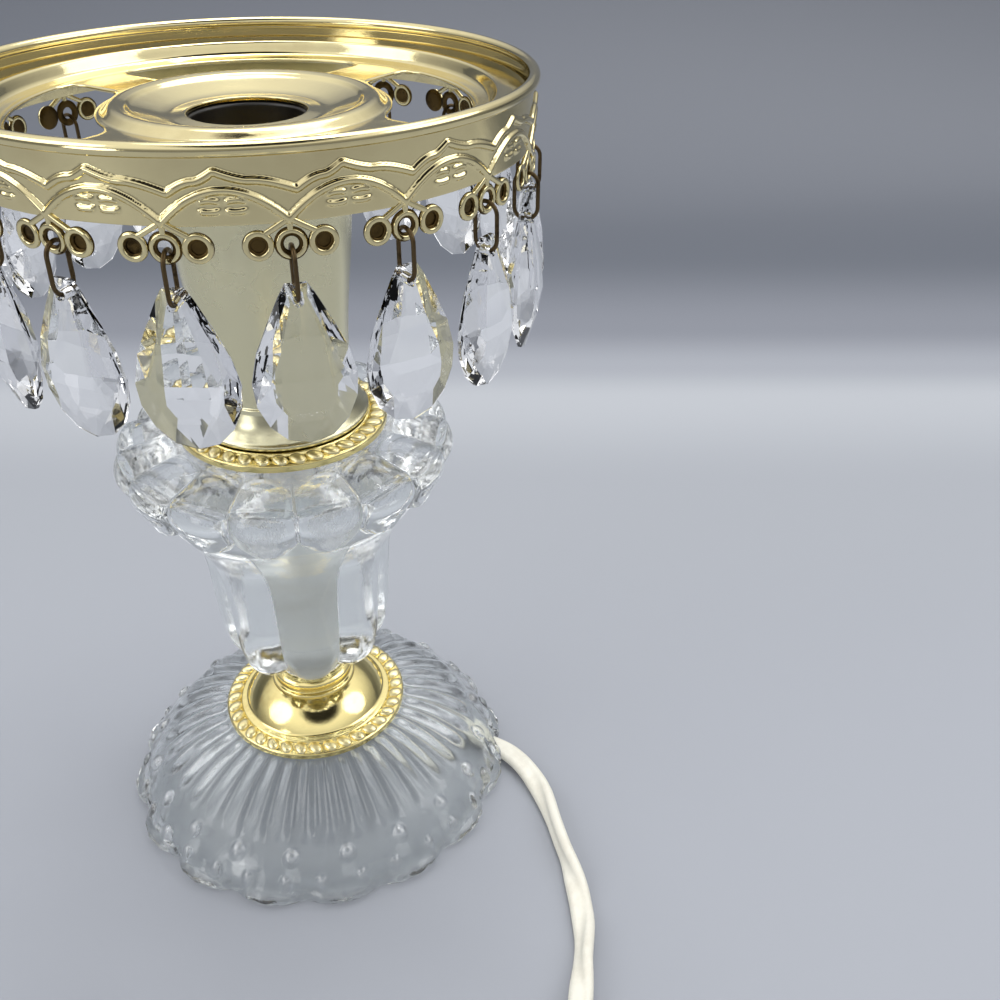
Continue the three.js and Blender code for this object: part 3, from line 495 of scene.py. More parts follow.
# Glass. Most of the light that falls on it goes on through, so only a share of it is kept back in the shadow.
# Frosted is the roughness where the mesh has its mask "frost" at 1, and a glazed glass has a coat by its mask
# "glaze".
glassShadow = 0.3
glazeCoat = {"roughness": 0.35, "refraction": 2.3}


def makeGlass(name, colour, roughness, refraction, rippleScale, rippleDepth, fine, frosted=0.0, glazed=False):
    material, tree, shader, place = newMaterial(name)
    shader.inputs["Base Color"].default_value = colour
    shader.inputs["Roughness"].default_value = roughness
    if frosted:
        frost = addNode(tree, "Attribute", attribute_name="frost").outputs["Fac"]
        tree.links.new(rangeNode(tree, frost, 0, 1, roughness, frosted), shader.inputs["Roughness"])
    if glazed:
        coat = addNode(tree, "Attribute", attribute_name="glaze").outputs["Fac"]
        tree.links.new(coat, shader.inputs["Coat Weight"])
        shader.inputs["Coat Roughness"].default_value = glazeCoat["roughness"]
        shader.inputs["Coat IOR"].default_value = glazeCoat["refraction"]
    shader.inputs["IOR"].default_value = refraction
    shader.inputs["Transmission Weight"].default_value = 1.0
    shadow = addNode(tree, "LightPath").outputs["Is Shadow Ray"]
    tree.links.new(rangeNode(tree, shadow, 0, 1, 1.0, glassShadow), shader.inputs["Alpha"])
    height = groupNode(tree, ripple, Vector=place, Scale=rippleScale, Fine=fine)["Height"]
    bumped(tree, shader, height, rippleDepth)
    return material


# Plastic with a film of dust, which is duller than what it lies on
def makePlastic(name, colour, film, amount, roughness, rippleScale, rippleDepth):
    material, tree, shader, place = newMaterial(name)
    dusty = groupNode(tree, dust, Vector=place, Color=colour, Film=film, Amount=amount)
    tree.links.new(dusty["Color"], shader.inputs["Base Color"])
    rough = mathNode(tree, "ADD", mathNode(tree, "MULTIPLY", dusty["Mask"], 0.5), roughness)
    tree.links.new(rough, shader.inputs["Roughness"])
    height = groupNode(tree, ripple, Vector=place, Scale=rippleScale, Fine=0.6)["Height"]
    bumped(tree, shader, height, rippleDepth)
    return material


brightBrass = makeMetal("bright_brass", metal=tint(250, 232, 162), patina=tint(206, 168, 92), scale=45,
                        amount=0.3, polish=0.1, dullness=0.06, rippleScale=60, rippleDepth=0.0001)
# The beads are the caps' brass, rougher and with a paler colour that is a painted highlight
beadBrassPaintedHighlight = makeMetal("bead_brass_painted_highlight", metal=tint(252, 238, 184), patina=tint(214, 178, 104), scale=60,
                      amount=0.3, polish=0.26, dullness=0.06, rippleScale=60, rippleDepth=0.0001)
galleryBrass = makeMetal("gallery_brass", metal=tint(230, 216, 166), patina=tint(164, 134, 82), scale=22,
                         amount=0.2, polish=0.08, dullness=0.05, rippleScale=25, rippleDepth=0.0001)
# Dark brass of the eyelet plates, nearly black in patches: on the floors of the side hollows this dark is
# painted shade in place of open holes
eyeletBrassPaintedShade = makeMetal("eyelet_brass_painted_shade", metal=tint(92, 74, 42), patina=tint(30, 22, 14), scale=90, amount=0.9,
                      polish=0.25, dullness=0.2, rippleScale=120, rippleDepth=0.0001)
satinBrass = makeMetal("satin_brass", metal=tint(226, 220, 184), patina=tint(204, 190, 142), scale=18,
                       amount=0.12, polish=0.22, dullness=0.06, rippleScale=16, rippleDepth=0.00012)
plateSteel = makeMetal("plated_steel", metal=tint(238, 238, 236), patina=tint(200, 194, 180), scale=60,
                       amount=0.4, polish=0.45, dullness=0.1, rippleScale=140, rippleDepth=0.0002)
bronzeWire = makeMetal("bronze_wire", metal=tint(96, 80, 56), patina=tint(34, 26, 18), scale=180, amount=0.8,
                       polish=0.3, dullness=0.2, rippleScale=300, rippleDepth=0.0001)
footGlass = makeGlass("foot_glass", tint(249, 252, 251), roughness=0.02, refraction=1.47, rippleScale=90,
                      rippleDepth=0.0004, fine=0.2, frosted=0.5, glazed=True)
columnGlass = makeGlass("column_glass", tint(249, 252, 251), roughness=0.015, refraction=1.47, rippleScale=60,
                        rippleDepth=0.0004, fine=0.15, frosted=0.4)
crystalGlass = makeGlass("crystal_glass", tint(253, 253, 253), roughness=0.0, refraction=1.42,
                         rippleScale=120, rippleDepth=0.00002, fine=0.1)
phenolic = makePlastic("phenolic", tint(20, 18, 17), film=tint(92, 86, 78), amount=0.25, roughness=0.3,
                       rippleScale=260, rippleDepth=0.0001)
cordVinyl = makePlastic("cord_vinyl", tint(232, 229, 216), film=tint(196, 188, 168), amount=0.3,
                        roughness=0.42, rippleScale=420, rippleDepth=0.0001)
whitePlastic = makePlastic("white_plastic", tint(234, 231, 222), film=tint(190, 182, 164), amount=0.25,
                           roughness=0.3, rippleScale=380, rippleDepth=0.00008)
print("materials made")


# Cord, flat twin lead

cord = {
    "width": 7.0,
    "thickness": 3.5,
    "wholeLength": 1800.0,
    "tableGap": 0.05,
    "exit": (58.4, -9.5, 3.0),
    "exitHeading": -43.0,
    "grooveAngle": 128,  # of each core's round, where the web between the two begins
    "coilRadius": 44.8,
    "coilTurns": 6.444,
    "coilDip": 3.6,
    "layerPitch": 7.8,
    "leadIn": 36.0,
    "tail": 46.0,
    "leaves": (8, 34),  # distances from the foot over which it comes down to the table
    "arrives": (34, 3),  # distances from the switch over which it rises to it
    "rolls": [(14, 44, 54, 74, 75), (72, 90, 92, 108, 55)],  # rises from, to, falls from, to, and degrees
}

# Where the cord lies on the table, from the foot to the switch
freeRoute = [
    (58.4, -9.5), (62.6, -13.6), (66.4, -19.6), (69.2, -27.4), (70.6, -36), (71, -45), (71.2, -56),
    (71.6, -67), (71.2, -78), (69, -90), (65.7, -99.6), (62.2, -109.3), (58.4, -119.8), (57.4, -122.5),
]

switch = {
    "length": 58.0,
    "width": 21.0,
    "shell": 6.8,  # height of each half
    "gap": 0.3,
    "wall": 1.6,
    "endHalfWidth": 5.2,
    "wheelRadius": 9.2,
    "wheelThickness": 4.2,
    "wheelStandsOut": 2.1,
    "wheelRoom": 0.6,  # round the wheel's edge
    "slotRoom": 0.25,  # above and below the wheel, and the cord
    "crown": 2.6,  # how far the top edge is rounded in
    "wheelHole": 2.3,
    "ribs": 24,
    "ribDepth": 0.55,
}

plug = {
    "length": 24.0,
    "width": 21.0,
    "thickness": 11.0,
    "bladePitch": 12.7,
    "bladeLength": 17.5,
    "bladeWidth": 6.3,
    "bladeThickness": 1.5,
    "bladeSeat": 4.0,
    "bladeTip": 1.5,  # length over which a blade narrows
    "neckHeight": 3.4,  # half of it
    "neckRibPitch": 1.7,
    "neckRibDepth": 0.45,
    "faceRounding": 1.1,
    "gripDepth": 0.5,
}

switchMiddleHeight = switch["shell"] + switch["gap"] / 2
switchHeading = math.atan2(freeRoute[-1][1] - freeRoute[-2][1], freeRoute[-1][0] - freeRoute[-2][0])


# A level direction by its angle from +X
def headingOf(angle):
    return np.array([math.cos(angle), math.sin(angle), 0.0])


# A point on the switch's long axis, carried on past the route's end
def alongSwitch(distance, height):
    return np.array([*freeRoute[-1], height]) + distance * headingOf(switchHeading)


# Two round cores side by side with a web between them, anticlockwise
def twinSection():
    radius = cord["thickness"] / 2
    offset = cord["width"] / 2 - radius
    a = np.radians(np.linspace(-cord["grooveAngle"], cord["grooveAngle"], 11))
    right = np.stack([offset + radius * np.cos(a), radius * np.sin(a)], -1)
    return np.concatenate([right, -right])


# Axes of the section along a line: "across" is level and square to the line, turned up by the roll
def levelAxes(line, roll):
    tangent = tangentsOf(line)
    side = np.cross([0, 0, 1], tangent)
    side /= np.linalg.norm(side, axis=1)[:, None]
    lift = np.cross(tangent, side)
    across = side * np.cos(roll)[:, None] + lift * np.sin(roll)[:, None]
    return across, np.cross(tangent, across)


# How far the cord is rolled onto its edge, by its distance from the foot
def cordRoll(s):
    return np.radians(sum(degrees * ease(riseFrom, riseTo, s) * (1 - ease(fallFrom, fallTo, s))
                          for riseFrom, riseTo, fallFrom, fallTo, degrees in cord["rolls"]))


# The part that lies free: the flat route, lifted to the foot's notch and to the switch by soft steps
def freeCordLine():
    flat = smoothLine(freeRoute, 110)
    length = runOf(flat)
    s = np.linspace(0, length, len(flat))
    roll = cordRoll(s)
    lying = cord["thickness"] / 2 * (1 + np.sin(roll)) + cord["tableGap"]
    leaving = 1 - ease(*cord["leaves"], s)
    arriving = ease(length - cord["arrives"][0], length - cord["arrives"][1], s)
    height = lying + (cord["exit"][2] - lying) * leaving + (switchMiddleHeight - lying) * arriving
    return np.column_stack([flat, height]), roll


# Coil on edge in two layers: in to the middle at a steady rate, up a layer, and out again
def coilLine(freeLength):
    low = cord["width"] / 2 + cord["tableGap"]
    turns, outer = cord["coilTurns"], cord["coilRadius"]
    s = np.linspace(0, cord["leadIn"], 16, endpoint=False)
    fall = ease(0, cord["leadIn"], s)
    start = 2 * switch["gap"] + switch["length"]
    lead = np.array([alongSwitch(start + x, 0) for x in s])
    lead[:, 2] = switchMiddleHeight + (low - switchMiddleHeight) * fall
    leadRoll = np.radians(90) * ease(4, cord["leadIn"] - 6, s)
    coilStart = alongSwitch(start + cord["leadIn"], 0)
    centre = coilStart + outer * np.array([math.sin(switchHeading), -math.cos(switchHeading), 0])
    loose = freeLength + switch["length"] + cord["leadIn"] + cord["tail"]
    inner = 2 * (cord["wholeLength"] - loose) / (fullTurn * turns) - outer + cord["coilDip"] / turns
    done = np.linspace(0, 1, 440)
    angle = switchHeading + math.pi / 2 - turns * fullTurn * done
    fromMiddle = turns * (done - 0.5)
    dip = np.where(np.abs(fromMiddle) < 0.5, cord["coilDip"] * np.cos(math.pi * fromMiddle) ** 2, 0)
    radius = inner + (outer - inner) * np.abs(2 * done - 1) - dip
    climb = ease(-0.25, 0.25, fromMiddle)
    x, y = centre[0] + radius * np.cos(angle), centre[1] + radius * np.sin(angle)
    wound = np.column_stack([x, y, low + cord["layerPitch"] * climb])
    plugHeading = angle[-1] - math.pi / 2
    s = np.linspace(0, cord["tail"], 24)[1:]
    tail = wound[-1] + s[:, None] * headingOf(plugHeading)
    rest = plug["thickness"] / 2 + cord["tableGap"]
    tail[:, 2] += (rest - wound[-1, 2]) * ease(4, cord["tail"] - 6, s)
    tailRoll = np.radians(90) * (1 - ease(14, cord["tail"] - 8, s))
    line = np.concatenate([lead, wound, tail])
    roll = np.concatenate([leadRoll, np.full(len(wound), np.radians(90)), tailRoll])
    return line, roll, plugHeading


# A mesh of the twin section along a line, with its length and its way round as UV, in metres
def cordMesh(name, line, across, lift):
    section = twinSection()
    points, faces = carried(line, across, lift, section)
    mesh = makeMesh(name, points, faces, endFaces(len(line), len(section)))
    run = distances(line) * mm
    corner = np.zeros(len(mesh.loops), np.int32)
    mesh.loops.foreach_get("vertex_index", corner)
    around = np.arange(len(section)) / len(section)
    uv = np.stack([run[corner // len(section)], around[corner % len(section)]], -1)
    mesh.uv_layers.new(name="UVMap").data.foreach_set("uv", uv.ravel())
    return mesh


freeLine, freeRoll = freeCordLine()
freeMesh = cordMesh("cord_to_switch", freeLine, *levelAxes(freeLine, freeRoll))
cordToSwitch = addPiece("cord_to_switch", freeMesh, cordVinyl, ["cord"])
coilPath, coilRoll, plugHeading = coilLine(runOf(freeLine))
coilMesh = cordMesh("cord_coil_wound", coilPath, *levelAxes(coilPath, coilRoll))
cordCoil = addPiece("cord_coil_wound", coilMesh, cordVinyl, ["cord_coil"])


# Cord inside the lamp: down the pipe, round under the glass, and out to the notch in the foot
def innerCordLine():
    top = nodeSpan("cord_in_lamp")[1]
    away = headingOf(math.radians(cord["exitHeading"]))
    end = np.array(cord["exit"]) - switch["gap"] * away
    route = [
        (0, 0, top), (0, 0, top - 40), (0, 0, 70), (0, 0, 30), (0, 0, 15), (2.4, 1, 8.6), (8.6, 3.5, 4.4),
        (18, 7.2, 3), (29, 9.6, 2.9), (40, 6.4, 3), tuple(end - 8 * away), tuple(end),
    ]
    return smoothLine(route, 120)


# Axes carried along without twist: at each step the part along the tangent is taken away
def carriedAxes(line, first):
    tangent = tangentsOf(line)
    across = np.zeros_like(line)
    now = np.array(first, float)
    for i, t in enumerate(tangent):
        now = now - now.dot(t) * t
        now /= np.linalg.norm(now)
        across[i] = now
    return across, np.cross(tangent, across)


innerLine = innerCordLine()
innerTurn = math.radians(22)
innerAxes = carriedAxes(innerLine, (-math.sin(innerTurn), math.cos(innerTurn), 0))
innerMesh = cordMesh("cord_inside", innerLine, *innerAxes)
addPiece("cord_inside", innerMesh, cordVinyl, ["cord_in_lamp"])
print("cord laid, mm:", round(runOf(freeLine)), "+", round(switch["length"]), "+", round(runOf(coilPath)))


# Pressed glass foot: a ribbed dome with a row of dots and a lobed lip

foot = {
    "radius": 62.3,
    "glass": 4.4,
    "bore": 7.0,
    "ribs": 40,
    "ribTurn": 3.9,
    "ribHeight": 0.9,
    "ribFrom": 31.5,
    "ribTo": 52.8,
    "dots": 20,
    "dotTurn": 3.9,
    "dotRadius": 54.6,
    "dotSize": 2.4,
    "dotHeight": 1.6,
    "lobes": 16,
    "lobeTurn": 12.4,
    "lobeDepth": 2.6,
    "pearlRadius": 59.4,
    "pearlTurn": 5.2,  # degrees from a notch of the lip to the pearl beside it
    "pearlSize": 1.9,
    "pearlHeight": 1.2,
    "edgeHeight": 1.2,
    "edgeMiddle": 3.2,  # height of the raised edge's middle above the table
    "edgeWidth": 1.7,
    "lipFlutes": 64,
    "fluteHeight": 0.16,
    "innerFrost": 0.4,
    "notchWidth": 9.4,
    "notchHeight": 6.2,
    "notchFade": 10.0,  # height from which the glass is not lifted
}


# Corners of the foot's outer slope, from the edge of the lip up to the bore: radius, height and rounding
def footOuter():
    low, top = nodeSpan("glass_foot")
    edge = foot["radius"]
    return [
        (edge - 4.1, low, 0.8), (edge - 0.7, low, 0.8), (edge, 2.6, 1.2), (edge - 2, 6.4, 2),
        (edge - 6.6, 12.8, 3), (edge - 13.4, 19.6, 4), (edge - 22.4, 25.6, 5), (31.5, 28.7, 3),
        (27.3, top, 1.5), (foot["bore"], top, 0.4),
    ]


# Outer slope and hollow underside, as one closed profile
def footProfile():
    edge = foot["radius"]
    under = nodeSpan("glass_foot")[1] - foot["glass"]
    inner = [
        (foot["bore"], under, 0.4), (25, under, 4), (36, under - 3.6, 5), (edge - 14.8, under - 10.4, 5),
        (edge - 7.8, under - 18, 4),
    ]
    return roundedProfile(footOuter() + inner, 0.95)


# Round bumps, repeated round the axis: height times the root of one minus the squared distance over the size
def dome(r, angle, radius, count, startDegrees, size, height):
    sideways = repeatTurn(angle, count, startDegrees) * fullTurn / count * radius
    distance = (sideways ** 2 + ((r - radius) * 1.25) ** 2) / size ** 2
    return height * np.sqrt(np.clip(1 - distance, 0, 1))


# How far a point lies from a notch between two lobes of the lip, as the size of a sine: 0 in it, 1 on a lobe
def footLobe(angle):
    return np.abs(np.sin(math.pi * repeatTurn(angle, foot["lobes"], foot["lobeTurn"])))


# The row of dots, one round bump for each
def footDots(r, angle, size, height):
    return dome(r, angle, foot["dotRadius"], foot["dots"], foot["dotTurn"], size, height)


# Two small bumps for each notch of the lip, one on either side
def footPearls(r, angle, height):
    pearls = 0
    for side in (-1, 1):
        turn = foot["lobeTurn"] + side * foot["pearlTurn"]
        pearls = pearls + dome(r, angle, foot["pearlRadius"], foot["lobes"], turn, foot["pearlSize"], height)
    return pearls


# Relief of the glass: rounded ribs that die out before the dots, round dots, small pearls beside the notches
# of the lip, a raised edge along each lobe, and fine flutes across it
def footRelief(r, angle, z, facing):
    outward = np.clip((facing[0] + facing[1]) * 3, 0, 1)
    rib = np.cos(fullTurn * repeatTurn(angle, foot["ribs"], foot["ribTurn"]))
    ribs = foot["ribHeight"] * rib * ease(foot["ribFrom"] - 3, foot["ribFrom"], r)
    ribs = ribs * (1 - ease(foot["ribTo"] - 5, foot["ribTo"], r))
    dots = footDots(r, angle, foot["dotSize"], foot["dotHeight"])
    pearls = footPearls(r, angle, foot["pearlHeight"])
    raised = np.exp(-((z - foot["edgeMiddle"]) / foot["edgeWidth"]) ** 2)
    edge = foot["edgeHeight"] * raised * footLobe(angle) ** 0.7 * (facing[0] > 0.3)
    flutes = np.cos(fullTurn * repeatTurn(angle, foot["lipFlutes"], foot["lobeTurn"]))
    edge = edge + foot["fluteHeight"] * flutes * ease(foot["radius"] - 5.5, foot["radius"] - 3.5, r) * outward
    return outward * (ribs + dots + pearls) + edge


# The lip draws in between lobes, and arches over the notch where the cord comes out: what lies lowest is
# lifted most
def footBend(r, angle, z):
    near = ease(foot["radius"] - 6, foot["radius"] - 0.8, r) * (1 - ease(4, 15, z))
    r = r - foot["lobeDepth"] * (1 - footLobe(angle)) ** 1.2 * near
    away = headingOf(math.radians(cord["exitHeading"]))
    dx = r * np.cos(angle) - cord["exit"][0]
    dy = r * np.sin(angle) - cord["exit"][1]
    beside = np.abs(dx * away[1] - dy * away[0])
    ahead = np.abs(dx * away[0] + dy * away[1])
    half = foot["notchWidth"] / 2
    arch = foot["notchHeight"] * (1 - ease(half - 0.8, half + 0.6, beside)) * (ahead < 14)
    return r, z + arch * np.clip(1 - z / foot["notchFade"], 0, 1)


# A share from 0 to 1 at each point of a mesh, kept under a name that a material reads
def setMask(mesh, name, maskOf):
    points = np.empty(len(mesh.vertices) * 3)
    mesh.vertices.foreach_get("co", points)
    x, y, z = points.reshape(-1, 3).T / mm
    mask = np.clip(maskOf(np.hypot(x, y), np.arctan2(y, x), z), 0, 1)
    attribute = mesh.attributes.new(name, "FLOAT", "POINT")
    attribute.data.foreach_set("value", mask.astype(np.float32))


# The foot is stippled inside, which is where a point lies well below the outer slope
def footFrost(r, angle, z):
    radii, heights = np.array([corner[:2] for corner in footOuter()[2:]])[::-1].T
    isInside = z < np.interp(r, radii, heights) - foot["glass"] / 2
    return foot["innerFrost"] * isInside * (r < foot["radius"] - 5)


# The dots, the pearls and the edge of the lip are fire-polished, so that they catch the light
def footGlaze(r, angle, z):
    bumps = footDots(r, angle, foot["dotSize"] + 0.2, 1.0) + footPearls(r, angle, 0.9)
    raised = np.exp(-((z - foot["edgeMiddle"]) / foot["edgeWidth"]) ** 2)
    edge = 0.6 * raised * footLobe(angle) ** 0.5 * (r > foot["radius"] - 3)
    return bumps * (z > 5) + edge


footMesh = makeMesh("glass_foot_pressed", *turned(footProfile(), 640, footRelief, footBend))
setMask(footMesh, "frost", footFrost)
setMask(footMesh, "glaze", footGlaze)
addPiece("glass_foot_pressed", footMesh, footGlass, ["glass_foot"], sharpAngle=60)
print("foot made")


# Beaded brass caps, one on the foot and one on the column

cap = {
    "radius": 29.3,
    "sheet": 0.8,
    "domeRadius": 23.9,
    "domeMiddle": (5.33, -8.69),  # radius and height of the middle of the dome's curve
    "domeCurve": 20.9,
    "domeFacing": (35.3, 67.3),  # degrees above level, at the dome's foot and at its neck
    "neckRadius": 12.2,
    "domeRise": 10.6,
    "rise": 16.6,
    "bore": 7.0,
    "beads": 36,
    "beadTurn": 5,  # degrees, where the first bead lies
    "beadRadius": 26.7,
    "beadHalfWidth": 2.15,
    "beadHalfLength": 2.35,
    "beadSeat": 2.2,
    "beadHeight": 1.15,
    "beadLean": 0.28,
}


# Flange, raised shelf, dome as an arc of a circle, neck with two rings, and the same way back inside
def capProfile(base):
    s, neck = cap["sheet"], cap["neckRadius"]
    curve, middle = cap["domeCurve"], cap["domeMiddle"]
    rim, wide, rise = cap["radius"], cap["domeRadius"], cap["rise"]
    slope = [(middle[0] + curve * math.cos(e), middle[1] + curve * math.sin(e), 0)
             for e in np.radians(np.linspace(*cap["domeFacing"], 12))]
    corners = [
        (rim - s, 0, 0.2), (rim, 0, 0.3), (rim, 1.8, 0.4), (rim - 0.5, 2.2, 0.3),
        (wide + 1.0, 2.2, 0.3), (wide + 0.5, 3.1, 0.4), (wide - 1.0, 3.2, 0.3),
    ] + slope + [
        (neck + 1.2, 11.8, 0.5), (neck, 12.2, 0.3), (neck, 13.6, 0.3), (neck + 0.7, 14.3, 0.4),
        (neck + 0.7, 15.6, 0.4), (neck - 0.3, rise, 0.3), (cap["bore"], rise, 0.2),
        (cap["bore"], rise - s, 0.1), (neck - s, rise - s, 0.2), (neck - s, cap["domeRise"] - s, 0.3),
        (wide - 4.4, 6.8, 2), (wide - 0.9, 0.6, 0.3), (wide + 0.8, 0.3, 0.2),
    ]
    return roundedProfile(corners, 0.8, base=base)


# Beads: half-sunk ellipsoids, each leaning the same way round so that the row looks like a rope
def capBeads(base):
    a = turnSteps(16)
    b = np.linspace(-math.pi / 2, math.pi / 2, 11)
    ringX = cap["beadHalfWidth"] * np.cos(b)[:, None] ** 0.7 * np.cos(a)
    ringY = cap["beadHalfLength"] * np.cos(b)[:, None] ** 0.7 * np.sin(a)
    ringZ = cap["beadHeight"] * np.sin(b)[:, None] + 0 * a
    bead = [cap["beadRadius"] + ringY, ringX + cap["beadLean"] * ringY, base + cap["beadSeat"] + ringZ]
    bead = np.stack(bead, -1).reshape(-1, 3)
    faces = gridFaces(len(b), len(a), False, True)
    turns = [cap["beadTurn"] + 360 * k / cap["beads"] for k in range(cap["beads"])]
    return [(spun(bead, math.radians(turn)), faces) for turn in turns]


for name, node in (("lower_cap", "lower_bead_cap"), ("upper_cap", "upper_bead_cap")):
    base = nodeSpan(node)[0]
    addTurned(name, node, capProfile(base), 216, brightBrass)
    beads = mergePoles(makeMesh(name + "_beads", *together(*capBeads(base))))
    # the beads take the paler brass, a painted highlight
    addPiece(name + "_beads", beads, beadBrassPaintedHighlight)
print("caps made")


# Glass column: sixteen petals at the shoulder, eight rods down the stem

column = {
    "bore": 7.0,
    "topRadius": 29.0,
    "shoulderRadius": 48.4,
    "waistRadius": 26.0,
    "bossRadius": 10.5,
    "petals": 16,
    "turn": -90.0,  # degrees, where a groove between two petals lies
    "petalHeight": 2.8,
    "petalTip": 69.9,  # height above the column's foot where a petal ends in a round tip
    "petalWide": 76.0,
    "rods": 8,
    "rodTurn": -112.5,  # degrees, where a groove between two rods lies
    "rodDepth": 3.5,
    "rodsEnd": 35.6,
    "rodsFade": 0.6,  # share of the depth that is lost on the way up to the petals
    "boreFrost": (10.0, 20.0),  # height over which the bore turns from clear to stippled
    "stemFrost": 0.3,
}


# From the boss up the bulging stem to the shoulder and the flat top, by corners above the column's foot
def columnProfile():
    base, top = nodeSpan("glass_column")
    waist, boss = column["waistRadius"], column["bossRadius"]
    body = column["shoulderRadius"] - column["petalHeight"]
    corners = [
        (column["bore"], 0, 0.3), (boss, 0, 0.8), (boss + 0.6, 5.6, 1.5), (waist - 6, 8, 2),
        (waist - 2.2, 11.2, 2), (waist, 19, 4), (waist + 1.2, 36, 8), (waist + 1.8, 46, 5),
        (waist + 3.6, 53.4, 4), (waist + 10, 64.4, 4), (waist + 13.8, 69.9, 3), (waist + 16.4, 76, 3),
        (body, 81.6, 5), (body - 1.6, 85.2, 4), (body - 9, 87, 5), (column["topRadius"], top - base, 1),
        (column["bore"], top - base, 0.3),
    ]
    return roundedProfile(corners, 1.0, base=base), base


# Petals swell from the shoulder: the root of one minus the squared share of the petal's half width, which
# itself grows from its tip as the root of the height. Grooves between the rods follow one minus the sine of
# the angle.
def columnRelief(base):
    def relief(r, angle, z, facing):
        height = z - base
        share = repeatTurn(angle, column["petals"], column["turn"] + 180 / column["petals"])
        rise = (height - column["petalTip"]) / (column["petalWide"] - column["petalTip"])
        width = 0.5 * np.sqrt(np.clip(rise, 1e-4, 1))
        swell = np.clip(1 - (share / width) ** 2, 0, 1) ** np.where(facing[1] > 0.6, 1.0, 0.5)
        onPetals = ease(column["topRadius"] + 1, column["topRadius"] + 9, r)
        onPetals = onPetals * ease(column["petalTip"] - 0.5, column["petalTip"] + 3, height)
        petals = column["petalHeight"] * onPetals * swell * np.where(facing[1] > 0.8, 0.55, 1)
        groove = 1 - np.abs(np.sin(math.pi * repeatTurn(angle, column["rods"], column["rodTurn"])))
        inStem = ease(column["bossRadius"] + 2, column["waistRadius"] - 5, r)
        inStem = inStem * (1 - column["rodsFade"] * ease(column["rodsEnd"], column["petalTip"] - 6, height))
        inStem = inStem * (1 - ease(column["petalTip"] - 8, column["petalTip"], height))
        rods = -column["rodDepth"] * inStem * groove ** 1.2
        return petals + rods
    return relief


profile, base = columnProfile()


# The bore is stippled, and the stem is a little dull between its foot and the petals
def columnFrost(r, angle, z):
    inBore = r < column["bore"] + 0.6
    stem = column["stemFrost"] * (1 - ease(column["petalTip"] - 10, column["petalTip"], z - base))
    return np.where(inBore, ease(*column["boreFrost"], z - base), stem * ease(12, 20, z - base))


columnMesh = makeMesh("glass_column_pressed", *turned(profile, 16 * 28, columnRelief(base)))
setMask(columnMesh, "frost", columnFrost)
addPiece("glass_column_pressed", columnMesh, columnGlass, ["glass_column"], sharpAngle=70)
print("column made")


# Husk, pipe, nuts and washer

husk = {"footRadius": 24.3, "waistRadius": 19.7, "topRadius": 24.5, "sheet": 0.7}
pipe = {
    "radius": 6.4,
    "bore": 4.6,
    "threadPitch": 0.94,
    "threadDepth": 0.45,
    "threadedBelow": 24,  # length of the thread at the foot
    "threadedAbove": 14,
}
washer = {"radius": 23.0, "bore": 6.8}
nut = {"acrossFlats": 19.0, "bore": 6.7}


# A flared foot with a step, then a slow widening up to the pan, and the same line set in by the sheet
def huskProfile():
    base, top = nodeSpan("husk")
    flare, waist, wide = husk["footRadius"], husk["waistRadius"], husk["topRadius"]
    outline = [
        (flare, 0, 0.2), (flare, 0.9, 0.3), (flare - 0.7, 1.5, 0.4), (waist + 1.7, 4.6, 2),
        (waist + 0.5, 8.6, 1.6), (waist + 0.5, 9.6, 0.3), (waist, 10, 0.3), (waist + 0.5, 27, 8),
        (waist + 2.7, 45.4, 8), (wide - 0.5, 62, 8), (wide, top - base, 0.2),
    ]
    inside = [(r - husk["sheet"], z, c) for r, z, c in outline][::-1]
    return roundedProfile(outline + inside, 2, base=base)


addTurned("husk_sleeve", "husk", huskProfile(), 160, satinBrass)


# Thread: the radius falls by the depth along a helix, on both threaded ends
def pipeRelief(r, angle, z, facing):
    low, high = nodeSpan("lamp_pipe")
    threaded = (z < low + pipe["threadedBelow"]) | (z > high - pipe["threadedAbove"])
    wave = 0.5 - 0.5 * np.cos(fullTurn * z / pipe["threadPitch"] - angle)
    return -pipe["threadDepth"] * wave * threaded * (facing[0] > 0.5)


# Section of a ring between two radii and two heights
def tubeProfile(inner, outer, low, high, step, rounding=0.2):
    corners = [(inner, low), (outer, low), (outer, high), (inner, high)]
    return roundedProfile([(r, z, rounding) for r, z in corners], step)


low, high = nodeSpan("lamp_pipe")
pipeProfile = tubeProfile(pipe["bore"], pipe["radius"], low, high, 0.25)
addTurned("threaded_pipe", "lamp_pipe", pipeProfile, 40, plateSteel, pipeRelief)
low, high = nodeSpan("foot_washer")
washerProfile = tubeProfile(washer["bore"], washer["radius"], low, high, 2, 0.4)
addTurned("washer", "foot_washer", washerProfile, 128, plateSteel)


# Six flats: the radius is half the width across flats over the cosine of the angle from the nearest flat's
# middle, cut off by a cone near both faces
def nutBend(low, high):
    half = nut["acrossFlats"] / 2

    def bend(r, angle, z):
        fromFlat = (angle + math.pi / 6) % (math.pi / 3) - math.pi / 6
        hexagon = half / np.cos(fromFlat)
        cone = half + 0.25 + 1.6 * np.minimum(z - low, high - z)
        outer = r > nut["bore"] + 1
        return np.where(outer, np.minimum(r * hexagon / half, cone), r), z
    return bend


for name, node in (("foot_fixing_nut", "foot_nut"), ("lock_nut", "pipe_lock_nut")):
    low, high = nodeSpan(node)
    profile = tubeProfile(nut["bore"], nut["acrossFlats"] / 2, low, high, 0.4, 0.1)
    addTurned(name, node, profile, 144, plateSteel, bend=nutBend(low, high))
print("husk, pipe and nuts made")


# Gallery ring: a wall with a beaded rim, stamped with a wave and a row of arches

